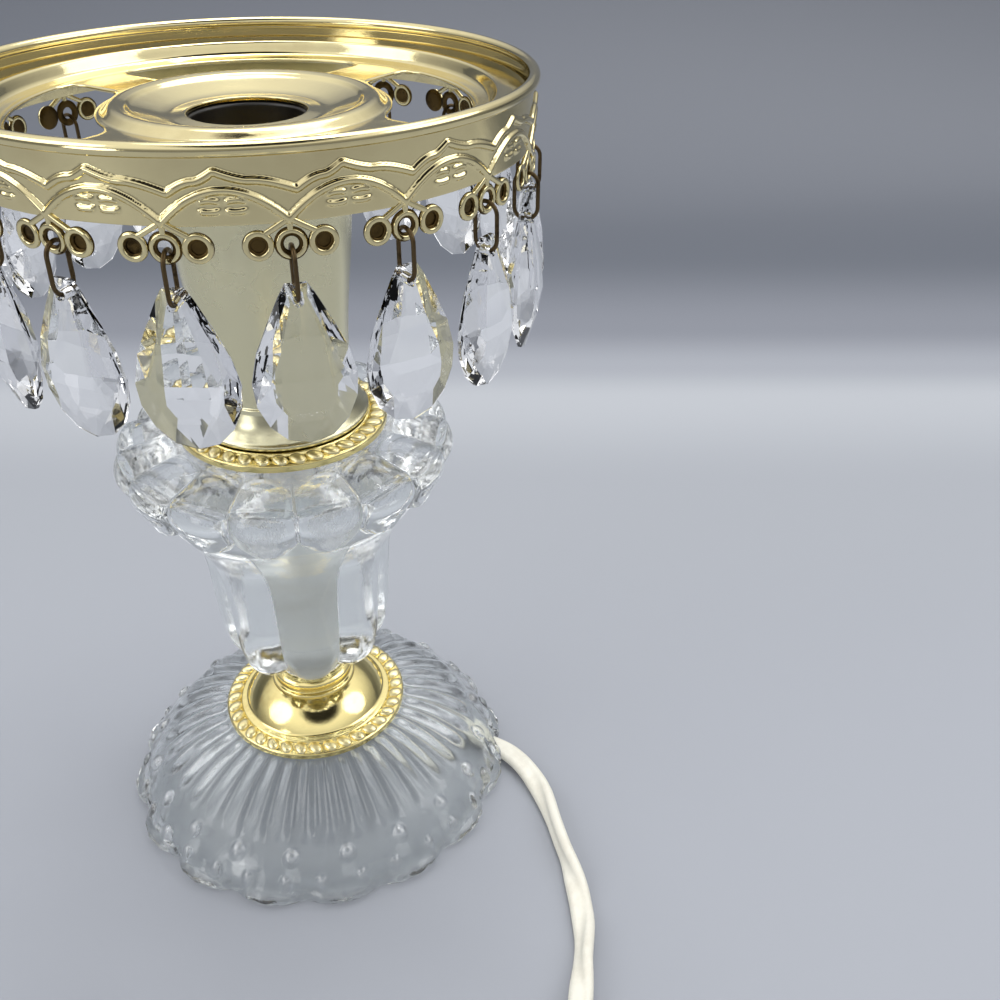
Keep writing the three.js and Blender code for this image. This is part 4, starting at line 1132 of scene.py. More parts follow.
gallery = {
    "radius": 69.5,
    "sheet": 0.8,
    "wall": 15.7,
    "bead": 1.5,
    "drops": 18,
    "firstDrop": -85.5,
    "lineHeight": 0.75,
    "lineHalf": 0.8,
    "waveLow": 221.6,
    "waveHigh": 225.7,
    "waveStart": 0.541,  # share of a turn of the pattern from its point to the drop
    "waveFall": 0.625,  # share of a turn of the pattern over which it falls
    "archLow": 215.9,
    "archHigh": 222.1,
    "dashHalf": 2.0,
    "dashApart": 2.5,
    "dashRows": [(220.3, -0.1), (218.0, 0.06)],  # height and bow of each row of dashes
    "dashWide": 0.62,
    "dashHeight": 0.5,
    "finePitch": 0.24,  # of the rows of points where the wall is stamped
    "eyeletDrop": 4.3,
    "eyeletPitch": 6.4,
    "eyeletRadius": 3.0,
    "plateSheet": 0.6,
    "sideHole": 1.4,
    "middleHole": 1.5,
}
galleryTop = nodeSpan("gallery_ring")[1]
galleryLow = galleryTop - gallery["wall"]
archPitch = fullTurn * (gallery["radius"] - gallery["sheet"] / 2) / gallery["drops"]
dropTurns = [gallery["firstDrop"] + 360 * k / gallery["drops"] for k in range(gallery["drops"])]
dropAngles = [math.radians(turn) for turn in dropTurns]


# A thin upright wall with a rolled bead, an arc of a circle, along its top
def galleryProfile():
    outer = gallery["radius"]
    inner = outer - gallery["sheet"]
    bead = gallery["bead"]
    centre = galleryTop - bead
    arc = [(outer - 0.3 + bead * math.cos(a), centre + bead * math.sin(a), 0)
           for a in np.radians(np.linspace(-55, 200, 14))]
    neck = centre + bead * math.sin(math.radians(-55)) - 0.1
    wall = [(inner, galleryLow, 0.2), (outer, galleryLow, 0.2), (outer, neck, 0.1)]
    line = roundedProfile(wall + arc + [(inner, neck, 0.2)], 4)
    parts = []
    for start, end in zip(line, line[1:]):
        isOutside = min(start[0], end[0]) > outer - 0.1
        parts.append(stepped(np.array([start, end]), gallery["finePitch"] if isOutside else 4, False)[:-1])
    return np.concatenate(parts + [line[-1:]])


# Height of a raised line with a round back, by the distance from its middle
def roundBack(distance, half, height):
    return height * np.sqrt(np.clip(1 - (distance / half) ** 2, 0, 1))


# A stamped line by its offset in height, which its slope makes longer than the true distance
def stampedLine(offset, slope):
    return roundBack(np.abs(offset) / np.sqrt(1 + slope ** 2), gallery["lineHalf"], gallery["lineHeight"])


# Wave: from a low point, half a sine up to a shoulder, then a rise to a point; the side that falls is longer
# than the side that rises. Arch: a parabola from one drop to the next. Inside each arch are four short bowed
# dashes.
def galleryRelief(r, angle, z, facing):
    outside = (facing[0] > 0.7) & (r > gallery["radius"] - 0.2) & (z < galleryTop - 2 * gallery["bead"])
    share = repeatTurn(angle, gallery["drops"], gallery["firstDrop"])
    t = np.mod(share + gallery["waveStart"], 1)
    fall = gallery["waveFall"]
    u = np.where(t < fall, 1 - t / fall, (t - fall) / (1 - fall))
    wave = 0.55 * np.sin(math.pi / 2 * np.minimum(u / 0.6, 1)) + 0.45 * np.clip((u - 0.6) / 0.4, 0, 1) ** 1.4
    waveAt = gallery["waveLow"] + (gallery["waveHigh"] - gallery["waveLow"]) * wave
    fromMiddle = repeatTurn(angle, gallery["drops"], gallery["firstDrop"] + 180 / gallery["drops"])
    archAt = gallery["archHigh"] - (gallery["archHigh"] - gallery["archLow"]) * (2 * np.abs(fromMiddle)) ** 2
    slope = np.gradient(waveAt[0]) * waveAt.shape[1] / (fullTurn * gallery["radius"])
    marks = stampedLine(z - waveAt, slope)
    slope = 8 * (gallery["archHigh"] - gallery["archLow"]) * np.abs(fromMiddle) / archPitch
    marks = np.maximum(marks, stampedLine(z - archAt, slope))
    x = fromMiddle * archPitch
    for side in (-1, 1):
        for height, bow in gallery["dashRows"]:
            dx = x - side * gallery["dashApart"]
            bowed = np.abs(z - height - bow * dx ** 2)
            ends = np.clip(np.abs(dx) - gallery["dashHalf"] + 0.6, 0, None)
            dash = roundBack(np.hypot(bowed, ends), gallery["dashWide"], gallery["dashHeight"])
            marks = np.maximum(marks, dash)
    return marks * outside


addTurned("gallery_wall", "gallery_ring", galleryProfile(), gallery["drops"] * 62, galleryBrass,
          galleryRelief, sharpAngle=70)


# A flat line (sideways, height) wrapped on the gallery's wall, as points in space with their axes
def wrapped(line, angle, radius, closed=False):
    around = angle + line[:, 0] / radius
    points = roundPoints(radius, around, line[:, 1])
    outward = np.column_stack([np.cos(around), np.sin(around), np.zeros(len(around))])
    tangent = tangentsOf(points, closed)
    side = np.cross(outward, tangent)
    side /= np.linalg.norm(side, axis=1)[:, None]
    return points, side, np.cross(tangent, side)


# A strip with rounded edges, half width by half thickness
def stripSection(halfWidth, halfThickness, sides=10):
    a = turnSteps(sides)
    return np.column_stack([halfWidth * squarish(np.cos(a), 0.6), halfThickness * squarish(np.sin(a), 0.6)])


# Scroll under the wall: from the end of an arch, through the crossing, and once round a side eyelet
def scrollLine(side):
    pitch, radius = gallery["eyeletPitch"], gallery["eyeletRadius"] - 0.55
    height = galleryLow - gallery["eyeletDrop"]
    a = np.radians(np.linspace(120, -240, 28))
    ring = np.column_stack([pitch + radius * np.cos(a), height + radius * np.sin(a)])
    lead = smoothLine([(-2.9, 218.1), (-1.2, 216.9), (0.9, 215.6), (3.1, 214.3), tuple(ring[0])], 14)
    line = np.concatenate([lead[:-1], ring])
    line[:, 0] *= side
    return line


# Plate round each hole: an outer edge that meets the neighbours', and a hole with a rounded edge, or a hollow
# with a thin floor. Its section is turned about the hole's middle.
def eyeletPlate(middle, outer, hole, isOpen):
    half = gallery["plateSheet"] / 2
    section = [(hole + 0.15, -half), (outer - 0.2, -half), (outer, -half + 0.2), (outer, half - 0.2),
               (outer - 0.2, half), (hole + 0.15, half), (hole, half - 0.15)]
    if isOpen:
        section += [(hole, -half + 0.15)]
    else:
        section += [(hole, -half + 0.2), (0.02, -half + 0.2), (0.02, -half)]
    reach, thick = np.array(section).T
    a = turnSteps(36)[:, None]
    x = middle + reach * np.cos(a)
    z = galleryLow - gallery["eyeletDrop"] + reach * np.sin(a)
    out = np.broadcast_to(thick, x.shape)
    return np.stack([x, out, z], -1).reshape(-1, 3), gridFaces(36, len(section))[:, ::-1]


# Points (sideways, outwards, height) bent round the gallery's wall
def bentRound(points, angle, radius):
    sideways, outwards, height = points.T
    return roundPoints(radius + outwards, angle + sideways / radius, height)


# For each drop: two scrolls, the neck between them and the rim of the middle eyelet, each a strip carried
# along a line on the wall
def galleryScrolls():
    parts, ends = [], []
    radius = gallery["radius"] - gallery["sheet"] / 2
    height = galleryLow - gallery["eyeletDrop"]
    eyelet = gallery["eyeletRadius"]
    scroll = stripSection(0.62, 0.5)
    rimSection = stripSection(0.5, 0.42)
    a = turnSteps(28)
    middle = np.column_stack([(eyelet - 0.45) * np.cos(a), height + (eyelet - 0.45) * np.sin(a)])
    neck = np.column_stack([np.zeros(5), np.linspace(216.2, height + eyelet - 0.5, 5)])
    count = 0
    for angle in dropAngles:
        lines = [(scrollLine(1), scroll, False, 0.45), (scrollLine(-1), scroll, False, 0.15),
                 (neck, scroll, False, 0.2), (middle, rimSection, True, 0.3)]
        for line, section, closed, stand in lines:
            points, side, lift = wrapped(line, angle, radius + stand, closed)
            partPoints, partFaces = carried(points, side, lift, section, closed)
            parts.append((partPoints, partFaces))
            if not closed:
                ends.append(endFaces(len(line), len(section)) + count)
            count += len(partPoints)
    points, faces = together(*parts)
    return makeMesh("gallery_scrolls", points, faces, np.concatenate(ends))


# Three plates for each drop, bent round the wall: an open one in the middle and a hollow at either side
def eyeletPlates():
    radius, outer = gallery["radius"] - gallery["sheet"] / 2, gallery["eyeletRadius"]
    plates = [eyeletPlate(0, outer + 0.4, gallery["middleHole"], True)]
    for side in (-1, 1):
        plates.append(eyeletPlate(side * gallery["eyeletPitch"], outer + 0.1, gallery["sideHole"], False))
    parts = [(bentRound(points, angle, radius), faces) for angle in dropAngles for points, faces in plates]
    return makeMesh("eyelet_plates", *together(*parts))


addPiece("gallery_scrolls", galleryScrolls(), galleryBrass, sharpAngle=60)
# the plates' dark brass paints shade into the side hollows
addPiece("eyelet_plates", eyeletPlates(), eyeletBrassPaintedShade, sharpAngle=60)
print("gallery ring made")


# Pan inside the gallery: ledge, stepped floor with four openings, dished hub

pan = {
    "sheet": 0.8,
    "ledgeDrop": 5.1,
    "ledgeInner": 60.2,
    "floorDrop": 9.0,
    "floorOuter": 58.6,
    "openOuter": 54.6,
    "openInner": 35.0,
    "arms": 4,
    "armHalf": 7.5,
    "flare": 5.0,
    "hubRim": 31.4,
    "hubRise": 2.1,
    "mouth": 14.3,
}


# From the mouth over the dished hub and its rim, along the floor, and up the step to the ledge
def panProfile():
    floor = galleryTop - pan["floorDrop"]
    ledge = galleryTop - pan["ledgeDrop"]
    outer = gallery["radius"] - gallery["sheet"] - 0.3
    mouth, rim, rise = pan["mouth"], pan["hubRim"], pan["hubRise"]
    hub = [
        (mouth, floor - 2.2, 0.2), (mouth + 0.2, floor - 1.2, 0.3), (mouth + 1.2, floor - 1.3, 0.3),
        (18.6, floor - 1.6, 0.8), (20.6, floor - 1.3, 1), (rim - 4.2, floor + 0.8, 2.5),
        (rim - 3.2, floor + rise - 0.4, 0.4), (rim - 1, floor + rise, 0.8),
        (rim + 0.4, floor + rise - 0.3, 0.6), (rim + 2.4, floor, 0.8), (pan["openInner"], floor, 0),
    ]
    rest = [
        (pan["openOuter"], floor, 0), (pan["openOuter"] + 1.4, floor, 0.5),
        (pan["floorOuter"], floor + 0.6, 0.5), (pan["floorOuter"] + 0.5, floor + 1.2, 0.4),
        (pan["ledgeInner"], ledge, 0.6), (outer, ledge, 0),
    ]
    inner = roundedProfile(hub, 1.2, closed=False)
    outerPart = roundedProfile(rest, 1.2, closed=False)
    middle = np.column_stack([np.linspace(pan["openInner"], pan["openOuter"], 15), np.full(15, floor)])
    return np.concatenate([inner, middle[1:-1], outerPart])


# Half width of an arm, in angle, at each radius: the arm's straight half width plus a quarter-round flare
# towards both ends
def armHalfAngle(radius):
    fromEnd = np.minimum(radius - pan["openInner"], pan["openOuter"] - radius)
    t = np.clip(1 - fromEnd / pan["flare"], 0, 1)
    half = pan["armHalf"] + pan["flare"] * (1 - np.sqrt(1 - t ** 2))
    return np.arcsin(np.clip(half / radius, 0, 0.98))


# Columns of points run between the arms' edges: the first share of each quarter lies on an arm, the rest over
# an opening, and the faces over the openings are left out
def panMesh():
    profile = panProfile()
    armColumns, openColumns = 14, 50
    r = profile[:, :1]
    inOpening = (r >= pan["openInner"] - 1e-6) & (r <= pan["openOuter"] + 1e-6)
    even = armHalfAngle(np.array([[45.0]]))
    spread = 1 - ease(0, 8, np.maximum(pan["openInner"] - r, r - pan["openOuter"]))
    edge = armHalfAngle(np.clip(r, pan["openInner"], pan["openOuter"]))
    half = np.where(inOpening, edge, even + (edge - even) * spread)
    quarter = fullTurn / pan["arms"]
    onArm = np.linspace(-1, 1, armColumns + 1)[None, :-1] * half
    overOpening = half + (quarter - 2 * half) * np.arange(openColumns)[None] / openColumns
    oneQuarter = np.concatenate([onArm, overOpening], 1)
    angle = np.concatenate([oneQuarter + quarter * (k + 0.5) for k in range(pan["arms"])], 1)
    rows, columns = angle.shape
    faces = gridFaces(rows, columns, False, True)
    row, column = faces[:, 0] // columns, faces[:, 0] % columns
    midRadius = (profile[row, 0] + profile[row + 1, 0]) / 2
    isOpen = (midRadius > pan["openInner"]) & (midRadius < pan["openOuter"])
    isOpen &= column % (armColumns + openColumns) >= armColumns
    return roundPoints(r, angle, profile[:, 1:]), faces[~isOpen][:, ::-1]


pressedPan = makeMesh("gallery_pan_pressed", *panMesh())
panPiece = addPiece("gallery_pan_pressed", pressedPan, galleryBrass, ["gallery_pan"],
                    sharpAngle=50)
wall = panPiece.modifiers.new("wall", "SOLIDIFY")
wall.thickness = pan["sheet"] * mm
wall.offset = -1
print("pan made")


# Socket: body, threaded shell, centre contact, and the brass cup below

socket = {
    "radius": 16.4,
    "bore": 13.9,
    "floor": 3.0,
    "lowerRoom": 5.0,
    "shellLift": 1.2,
    "shellDown": 7.2,
    "shellSheet": 0.4,
    "threadPitch": 3.6,
    "threadDepth": 0.6,
    "capBore": 6.7,
    "neckRise": 4.0,  # height of the cup's neck
}


# Four turned pieces, each from the corners of its section: moulding, shell, contact and cup
def socketPieces():
    low, top = nodeSpan("socket_body")
    radius, bore = socket["radius"], socket["bore"]
    floor = low + socket["lowerRoom"] + socket["floor"]
    under = floor - socket["floor"]
    body = [
        (bore - 0.9, low, 0.3), (radius, low, 0.4), (radius, low + 6, 0.3), (radius - 0.4, low + 6.4, 0.2),
        (radius - 0.4, top - 9, 0.2), (radius, top - 8.6, 0.2), (radius, top - 0.9, 0.6),
        (bore + 0.8, top, 0.5), (bore, top - 0.5, 0.5), (bore, top - 2.4, 0.2),
        (bore - 0.02, top - 2.8, 0.2), (bore, floor, 0.3),
        (1.5, floor, 0.2), (1.5, under, 0.2), (bore - 0.9, under, 0.3),
    ]
    addTurned("socket_moulding", "socket_body", roundedProfile(body, 3), 128, phenolic)
    outer = bore - 0.3
    lowShell, highShell = floor + socket["shellLift"], top - socket["shellDown"]
    s = socket["shellSheet"]
    shell = [
        (outer, lowShell, 0.3), (outer, highShell, 0.1), (outer - s, highShell, 0.1),
        (outer - s, lowShell + s, 0.3), (outer - 6, lowShell + s, 0.1), (outer - 6, lowShell, 0.1),
    ]

    # thread pressed into the sheet: both faces move in by the depth along a helix
    def threadBend(r, angle, z):
        wave = 0.5 - 0.5 * np.cos(fullTurn * z / socket["threadPitch"] - angle)
        onWall = (r > outer - 1) * ease(lowShell + 1, lowShell + 2.5, z)
        onWall = onWall * (1 - ease(highShell - 2, highShell - 0.6, z))
        return r - socket["threadDepth"] * wave * onWall, z

    addTurned("threaded_shell", "screw_shell", roundedProfile(shell, 0.35), 120, brightBrass,
              bend=threadBend)
    contact = [
        (0, under - 1.2, 0), (2.6, under - 1.2, 0.3), (2.6, under - 0.3, 0.2), (1.2, under - 0.3, 0.1),
        (1.2, floor + 0.3, 0.1), (3.4, floor + 0.5, 0.3), (2.6, floor + 2.2, 0.8), (0, floor + 2.6, 0),
    ]
    profile = roundedProfile(contact, 0.8, closed=False)
    mesh = mergePoles(makeMesh("contact_rivet", *turned(profile, 48, closed=False)))
    addPiece("contact_rivet", mesh, brightBrass, ["centre_contact"])
    base, cupTop = nodeSpan("socket_cap")
    cup = base + socket["neckRise"]
    hub = socket["capBore"]
    corners = [
        (hub, base, 0.2), (hub + 1.9, base, 0.4), (hub + 1.9, cup, 0.6), (radius - 2, cup + 1, 1.6),
        (radius, cup + 4, 1.6), (radius, cupTop - 2.4, 0.3), (radius - 0.3, cupTop - 2, 0.2),
        (radius, cupTop - 1.6, 0.3), (radius, cupTop, 0.3), (radius - 0.8, cupTop, 0.2),
        (radius - 0.8, cup + 4.4, 1.2), (radius - 2.4, cup + 1.8, 0.8), (hub, cup + 1.8, 0.2),
    ]
    addTurned("socket_cup", "socket_cap", roundedProfile(corners, 1.5), 120, satinBrass)


socketPieces()
print("socket made")


# Drops: an almond of cut glass on a wire ring, in the middle eyelet of each group

drop = {
    "length": 36.4,
    "halfWidth": 11.1,
    "halfThickness": 4.0,
    "girdle": 0.45,
    "holeRadius": 1.2,
    "holeDepth": 3.2,
    "linkDrop": 11.2,
    "linkHalfWidth": 2.85,
    "wire": 0.5,
    "slack": 0.25,
}


# Corners of the cut. The edge: share of the half width, share of the length. The faces: the same two, with
# the share of the half thickness. A ridge runs from the tip to the middle, where broad facets meet, and below
# the widest place the facets are short.
dropEdge = [
    (0.2, 0), (0.34, 0.07), (0.62, 0.24), (0.86, 0.4), (1, 0.58), (0.96, 0.72), (0.76, 0.86), (0.44, 0.96),
]
dropFacets = [
    (0.16, 0.1, 0.42), (0.42, 0.36, 0.8), (0.5, 0.62, 0.92), (0.68, 0.56, 0.7), (0.34, 0.8, 0.68),
    (0.5, 0.72, 0.76),
]
dropRidge = [(0.04, 0.36), (0.34, 0.86), (0.62, 1.0), (0.9, 0.4)]


# Corners on both faces and both sides, worked out from the shares above, with the tip at the top
def dropPoints():
    length, half, thick = drop["length"], drop["halfWidth"], drop["halfThickness"]
    points = [(0, side * drop["girdle"], -length) for side in (-1, 1)]
    for side in (-1, 1):
        for mirror in (-1, 1):
            points += [(mirror * w * half, side * drop["girdle"], -t * length) for w, t in dropEdge]
            points += [(mirror * w * half, side * y * thick, -t * length) for w, t, y in dropFacets]
        points += [(0, side * y * thick, -t * length) for t, y in dropRidge]
    return np.array(points)


# The cut glass as the hull of its points, drilled near the tip
def almondMesh():
    work = bmesh.new()
    for point in dropPoints() * mm:
        work.verts.new(point)
    made = bmesh.ops.convex_hull(work, input=work.verts, use_existing_faces=False)
    loose = {v for v in made["geom_interior"] if isinstance(v, bmesh.types.BMVert)}
    loose |= {v for v in made["geom_unused"] if isinstance(v, bmesh.types.BMVert)}
    bmesh.ops.delete(work, geom=list(loose), context="VERTS")
    bmesh.ops.recalc_face_normals(work, faces=work.faces)
    mesh = bpy.data.meshes.new("almond")
    work.to_mesh(mesh)
    work.free()
    a = turnSteps(24)
    x = drop["holeRadius"] * np.cos(a)
    z = drop["holeRadius"] * np.sin(a) - drop["holeDepth"]
    ends = [np.column_stack([x, np.full(24, y), z]) for y in (9, -9)]
    drill = makeMesh("drill", np.concatenate(ends), *tubeFaces(2, 24))
    almond = bpy.data.objects.new("almond", mesh)
    cutter = bpy.data.objects.new("drill", drill)
    for thing in (almond, cutter):
        bpy.context.scene.collection.objects.link(thing)
    cut = almond.modifiers.new("hole", "BOOLEAN")
    cut.object = cutter
    cut.operation = "DIFFERENCE"
    cut.solver = "EXACT"
    bpy.context.view_layer.update()
    done = bpy.data.meshes.new_from_object(almond.evaluated_get(bpy.context.evaluated_depsgraph_get()))
    for thing in (almond, cutter):
        bpy.data.objects.remove(thing)
    return done


# The wire ring: two half rounds joined by straight sides, standing in the plane that points outwards
def linkMesh():
    half, wire = drop["linkHalfWidth"], drop["wire"]
    low = -drop["linkDrop"] + half
    top = np.radians(np.linspace(0, 180, 15))
    bottom = np.radians(np.linspace(180, 360, 15))
    arcTop = np.column_stack([half * np.cos(top), 0 * top, -half + half * np.sin(top)])
    arcLow = np.column_stack([half * np.cos(bottom), 0 * bottom, low + half * np.sin(bottom)])
    line = stepped(np.concatenate([arcTop, arcLow]), 1.2, True)
    tangent = tangentsOf(line, True)
    side = np.broadcast_to([0.0, 1.0, 0.0], line.shape)
    lift = np.cross(tangent, side)
    a = turnSteps(10)
    section = wire * np.column_stack([np.cos(a), np.sin(a)])
    return carried(line, side, lift, section, True)


# Each drop hangs on its ring from its hinge: the cut glass is turned to face outwards and set in place
def hangDrops():
    almond = almondMesh()
    flat = np.zeros(len(almond.vertices) * 3)
    almond.vertices.foreach_get("co", flat)
    facingOut = flat.reshape(-1, 3)[:, [1, 0, 2]] * (-1, 1, 1)
    linkPoints, linkFaces = linkMesh()
    pivots = {j["child"]: j["pos_m"] for j in frame["joints"] if j["child"].startswith("drop_")}
    for body, pivot in sorted(pivots.items()):
        number = body.split("_")[1]
        angle = math.atan2(pivot[1], pivot[0])
        glassTop = pivot[2] - (drop["linkDrop"] - drop["slack"] - drop["holeDepth"]) * mm
        mesh = almond.copy()
        mesh.name = "cut_drop_" + number
        placed = spun(facingOut, angle) + (*pivot[:2], glassTop)
        mesh.vertices.foreach_set("co", placed.ravel())
        mesh.update()
        addPiece("cut_drop_" + number, mesh, crystalGlass, ["crystal_drop_" + number], body, 1)
        mesh = makeMesh("wire_ring_" + number, spun(linkPoints, angle) + np.array(pivot) / mm, linkFaces)
        addPiece("wire_ring_" + number, mesh, bronzeWire, ["drop_link_" + number], body)
    bpy.data.meshes.remove(almond)


hangDrops()
print("drops hung")


# In-line switch and plug

# A frame of points along a heading on the table: x along, y to the left, z up
def laid(points, origin, heading):
    return spun(points, heading) + origin


# Outer or inner surface of one half of the switch's shell: a rounded outline, drawn in by a share of its own
# half width and length as it rises, with the slot for the wheel at one side and the cord's way at both ends
def switchSurface(isInner):
    length, width = switch["length"] / 2, switch["width"] / 2
    wall = switch["wall"] if isInner else 0
    height = switch["shell"] - wall
    a = turnSteps(200)
    x = length * squarish(np.cos(a), 0.45)
    waist = width - (width - switch["endHalfWidth"]) * ease(0.62, 1.0, np.abs(x) / length)
    y = waist * squarish(np.sin(a), 0.5)
    bow = np.linspace(0, math.pi / 2, 9)[1:]
    up = np.concatenate([[0, 0.12, 0.25, 0.4], 0.4 + 0.6 * np.sin(bow)])
    inset = np.concatenate([[0, 0, 0.1, 0.25], 0.25 + switch["crown"] * (1 - np.cos(bow))]) + wall
    shrink = np.concatenate([np.ones(len(up)), np.linspace(0.94, 0.1, 8)])[:, None]
    inset = np.concatenate([inset, np.full(8, inset[-1])])[:, None]
    px = shrink * x * (1 - inset / length)
    py = shrink * y * (1 - inset / waist)
    pz = np.concatenate([up * height, np.full(8, height)])[:, None] + 0 * px
    wheelOffset = width - switch["wheelRadius"] + switch["wheelStandsOut"]
    reach = switch["wheelRadius"] + switch["wheelRoom"]
    slot = (np.hypot(px, py - wheelOffset) < reach) & (py > 0)
    pz = np.where(slot, np.maximum(pz, switch["wheelThickness"] / 2 + switch["slotRoom"]), pz)
    wayOut = (np.abs(py) < cord["width"] / 2 + 0.4) & (np.abs(px) > length - 5)
    pz = np.where(wayOut, np.maximum(pz, cord["thickness"] / 2 + switch["slotRoom"]), pz)
    return np.stack([px, py, pz], -1)


# The half shell as one closed skin: down the inner surface, round the parting edge, and up the outer one
def switchShell(isUpper):
    rows = np.concatenate([switchSurface(True)[::-1], switchSurface(False)])
    count, around = rows.shape[:2]
    points = rows.reshape(-1, 3)
    faces, lids = tubeFaces(count, around)
    if not isUpper:
        points[:, 2] *= -1
        faces, lids = faces[:, ::-1], lids[:, ::-1]
    return points, faces, lids


switchOrigin = alongSwitch(switch["gap"] + switch["length"] / 2, switchMiddleHeight + cord["tableGap"])
switchHalves = [("switch_top", "switch_upper_shell", True), ("switch_base", "switch_lower_shell", False)]
for name, node, isUpper in switchHalves:
    points, faces, lids = switchShell(isUpper)
    points[:, 2] += switch["gap"] / 2 * (1 if isUpper else -1)
    mesh = makeMesh(name, laid(points, switchOrigin, switchHeading), faces, lids)
    addPiece(name, mesh, whitePlastic, [node], sharpAngle=50)


# Thumb wheel: its edge is ribbed, the radius following a rounded wave
def wheelMesh():
    low, high = -switch["wheelThickness"] / 2, switch["wheelThickness"] / 2
    profile = tubeProfile(switch["wheelHole"], switch["wheelRadius"], low, high, 0.6, 0.5)

    def ribBend(r, angle, z):
        wave = 0.5 - 0.5 * np.cos(angle * switch["ribs"])
        rim = ease(switch["wheelRadius"] - 1.4, switch["wheelRadius"] - 0.4, r)
        dish = 0.5 * ease(3.4, 4.2, r) * (1 - ease(6.6, 7.6, r))
        return r - switch["ribDepth"] * wave * rim, z - np.sign(z) * dish * (np.abs(z) > 1.6)

    return turned(profile, switch["ribs"] * 10, None, ribBend)


wheelJoint = next(j for j in frame["joints"] if j["child"] == "switch_wheel")
points, faces = wheelMesh()
points = points + np.array(wheelJoint["pos_m"]) / mm
mesh = makeMesh("thumb_wheel", points, faces)
addPiece("thumb_wheel", mesh, whitePlastic, ["switch_wheel"], "switch_wheel")


# Plug body: rounded sections along its length, narrow and ribbed at the cord, wide at the face
def plugBodyMesh():
    x = np.concatenate([np.linspace(switch["gap"], 9.6, 34), np.linspace(10, plug["length"], 20)])
    neck, neckHeight = cord["width"] / 2 + 1.2, plug["neckHeight"]
    halfWidth = neck + (plug["width"] / 2 - neck) * ease(5.5, 12.5, x)
    halfHeight = neckHeight + (plug["thickness"] / 2 - neckHeight) * ease(5, 11.5, x)
    ribWave = 0.5 + 0.5 * np.cos(fullTurn * x / plug["neckRibPitch"])
    ribs = plug["neckRibDepth"] * ribWave * (1 - ease(6.5, 8, x))
    rounding = plug["faceRounding"]
    nearFace = ((x - (plug["length"] - rounding)) / rounding).clip(0, 1)
    roundFace = rounding * (1 - np.sqrt(np.clip(1 - nearFace ** 2, 0, 1)))
    grip = plug["gripDepth"] * ease(12.5, 14, x) * (1 - ease(19, 20.5, x))
    a = turnSteps(64)
    trim = ribs + roundFace + grip
    y = (halfWidth - trim)[:, None] * squarish(np.cos(a), 0.55)
    z = (halfHeight - trim)[:, None] * squarish(np.sin(a), 0.6)
    points = np.stack([x[:, None] + 0 * y, y, z], -1).reshape(-1, 3)
    return points, *tubeFaces(len(x), len(a))


plugOrigin = coilPath[-1]
points, faces, lids = plugBodyMesh()
plugMesh = makeMesh("plug_moulding", laid(points, plugOrigin, plugHeading), faces, lids)
addPiece("plug_moulding", plugMesh, cordVinyl, ["plug_body"], sharpAngle=50)


# A blade: a flat bar with a rounded tip and rounded edges, seated in the plug's face
def bladeMesh(side):
    length = plug["bladeLength"] + plug["bladeSeat"]
    tip = plug["bladeTip"]
    towardsTip = np.sin(np.linspace(0, math.pi / 2, 7))[1:]
    x = np.concatenate([np.linspace(0, length - tip, 12), length - tip + tip * towardsTip])
    narrow = np.where(x > length - tip, 1 - np.sqrt(np.clip(1 - ((x - length + tip) / tip) ** 2, 0, 1)), 0)
    halfWide = plug["bladeWidth"] / 2 - 1.2 * narrow
    halfThick = plug["bladeThickness"] / 2 - 0.35 * narrow
    a = turnSteps(24)
    y = halfThick[:, None] * squarish(np.cos(a), 0.4)
    z = halfWide[:, None] * squarish(np.sin(a), 0.25)
    start = plug["length"] - plug["bladeSeat"]
    points = np.stack([start + x[:, None] + 0 * y, side * plug["bladePitch"] / 2 + y, z], -1).reshape(-1, 3)
    return points, *tubeFaces(len(x), len(a))


for side, name, node in ((1, "blade_left", "plug_blade_left"), (-1, "blade_right", "plug_blade_right")):
    points, faces, lids = bladeMesh(side)
    mesh = makeMesh(name, laid(points, plugOrigin, plugHeading), faces, lids)
    addPiece(name, mesh, brightBrass, [node])
print("switch and plug made")


# Floor and backdrop: one sheet that curves up behind the lamp

stageSheet = {
    "halfWidth": 8000.0,
    "front": -8000.0,
    "curveStart": 520.0,
    "curveRadius": 200.0,
    "height": 420.0,
    # painted shading: a band of painted light, then painted shade darkest where the floor meets the wall
    "paintedShadingColours": [  # by distance behind the lamp, in metres
        (0.0, (158, 161, 168)), (0.18, (156, 159, 165)), (0.275, (170, 173, 178)), (0.315, (152, 155, 162)),
        (0.37, (128, 131, 139)), (0.5, (104, 108, 116)), (0.8, (130, 133, 140)),
    ],
    "away": (0.21, 0.978, 0.0),  # direction in which that distance is counted
    # painted light: the sheet takes a lighter colour where it is seen through glass
    "throughFrom": (0.26, 0.36),  # distances over which the colour seen through glass takes over
    "throughColour": (178, 181, 187),
    "drop": 0.1,  # how far it lies below the foot
}
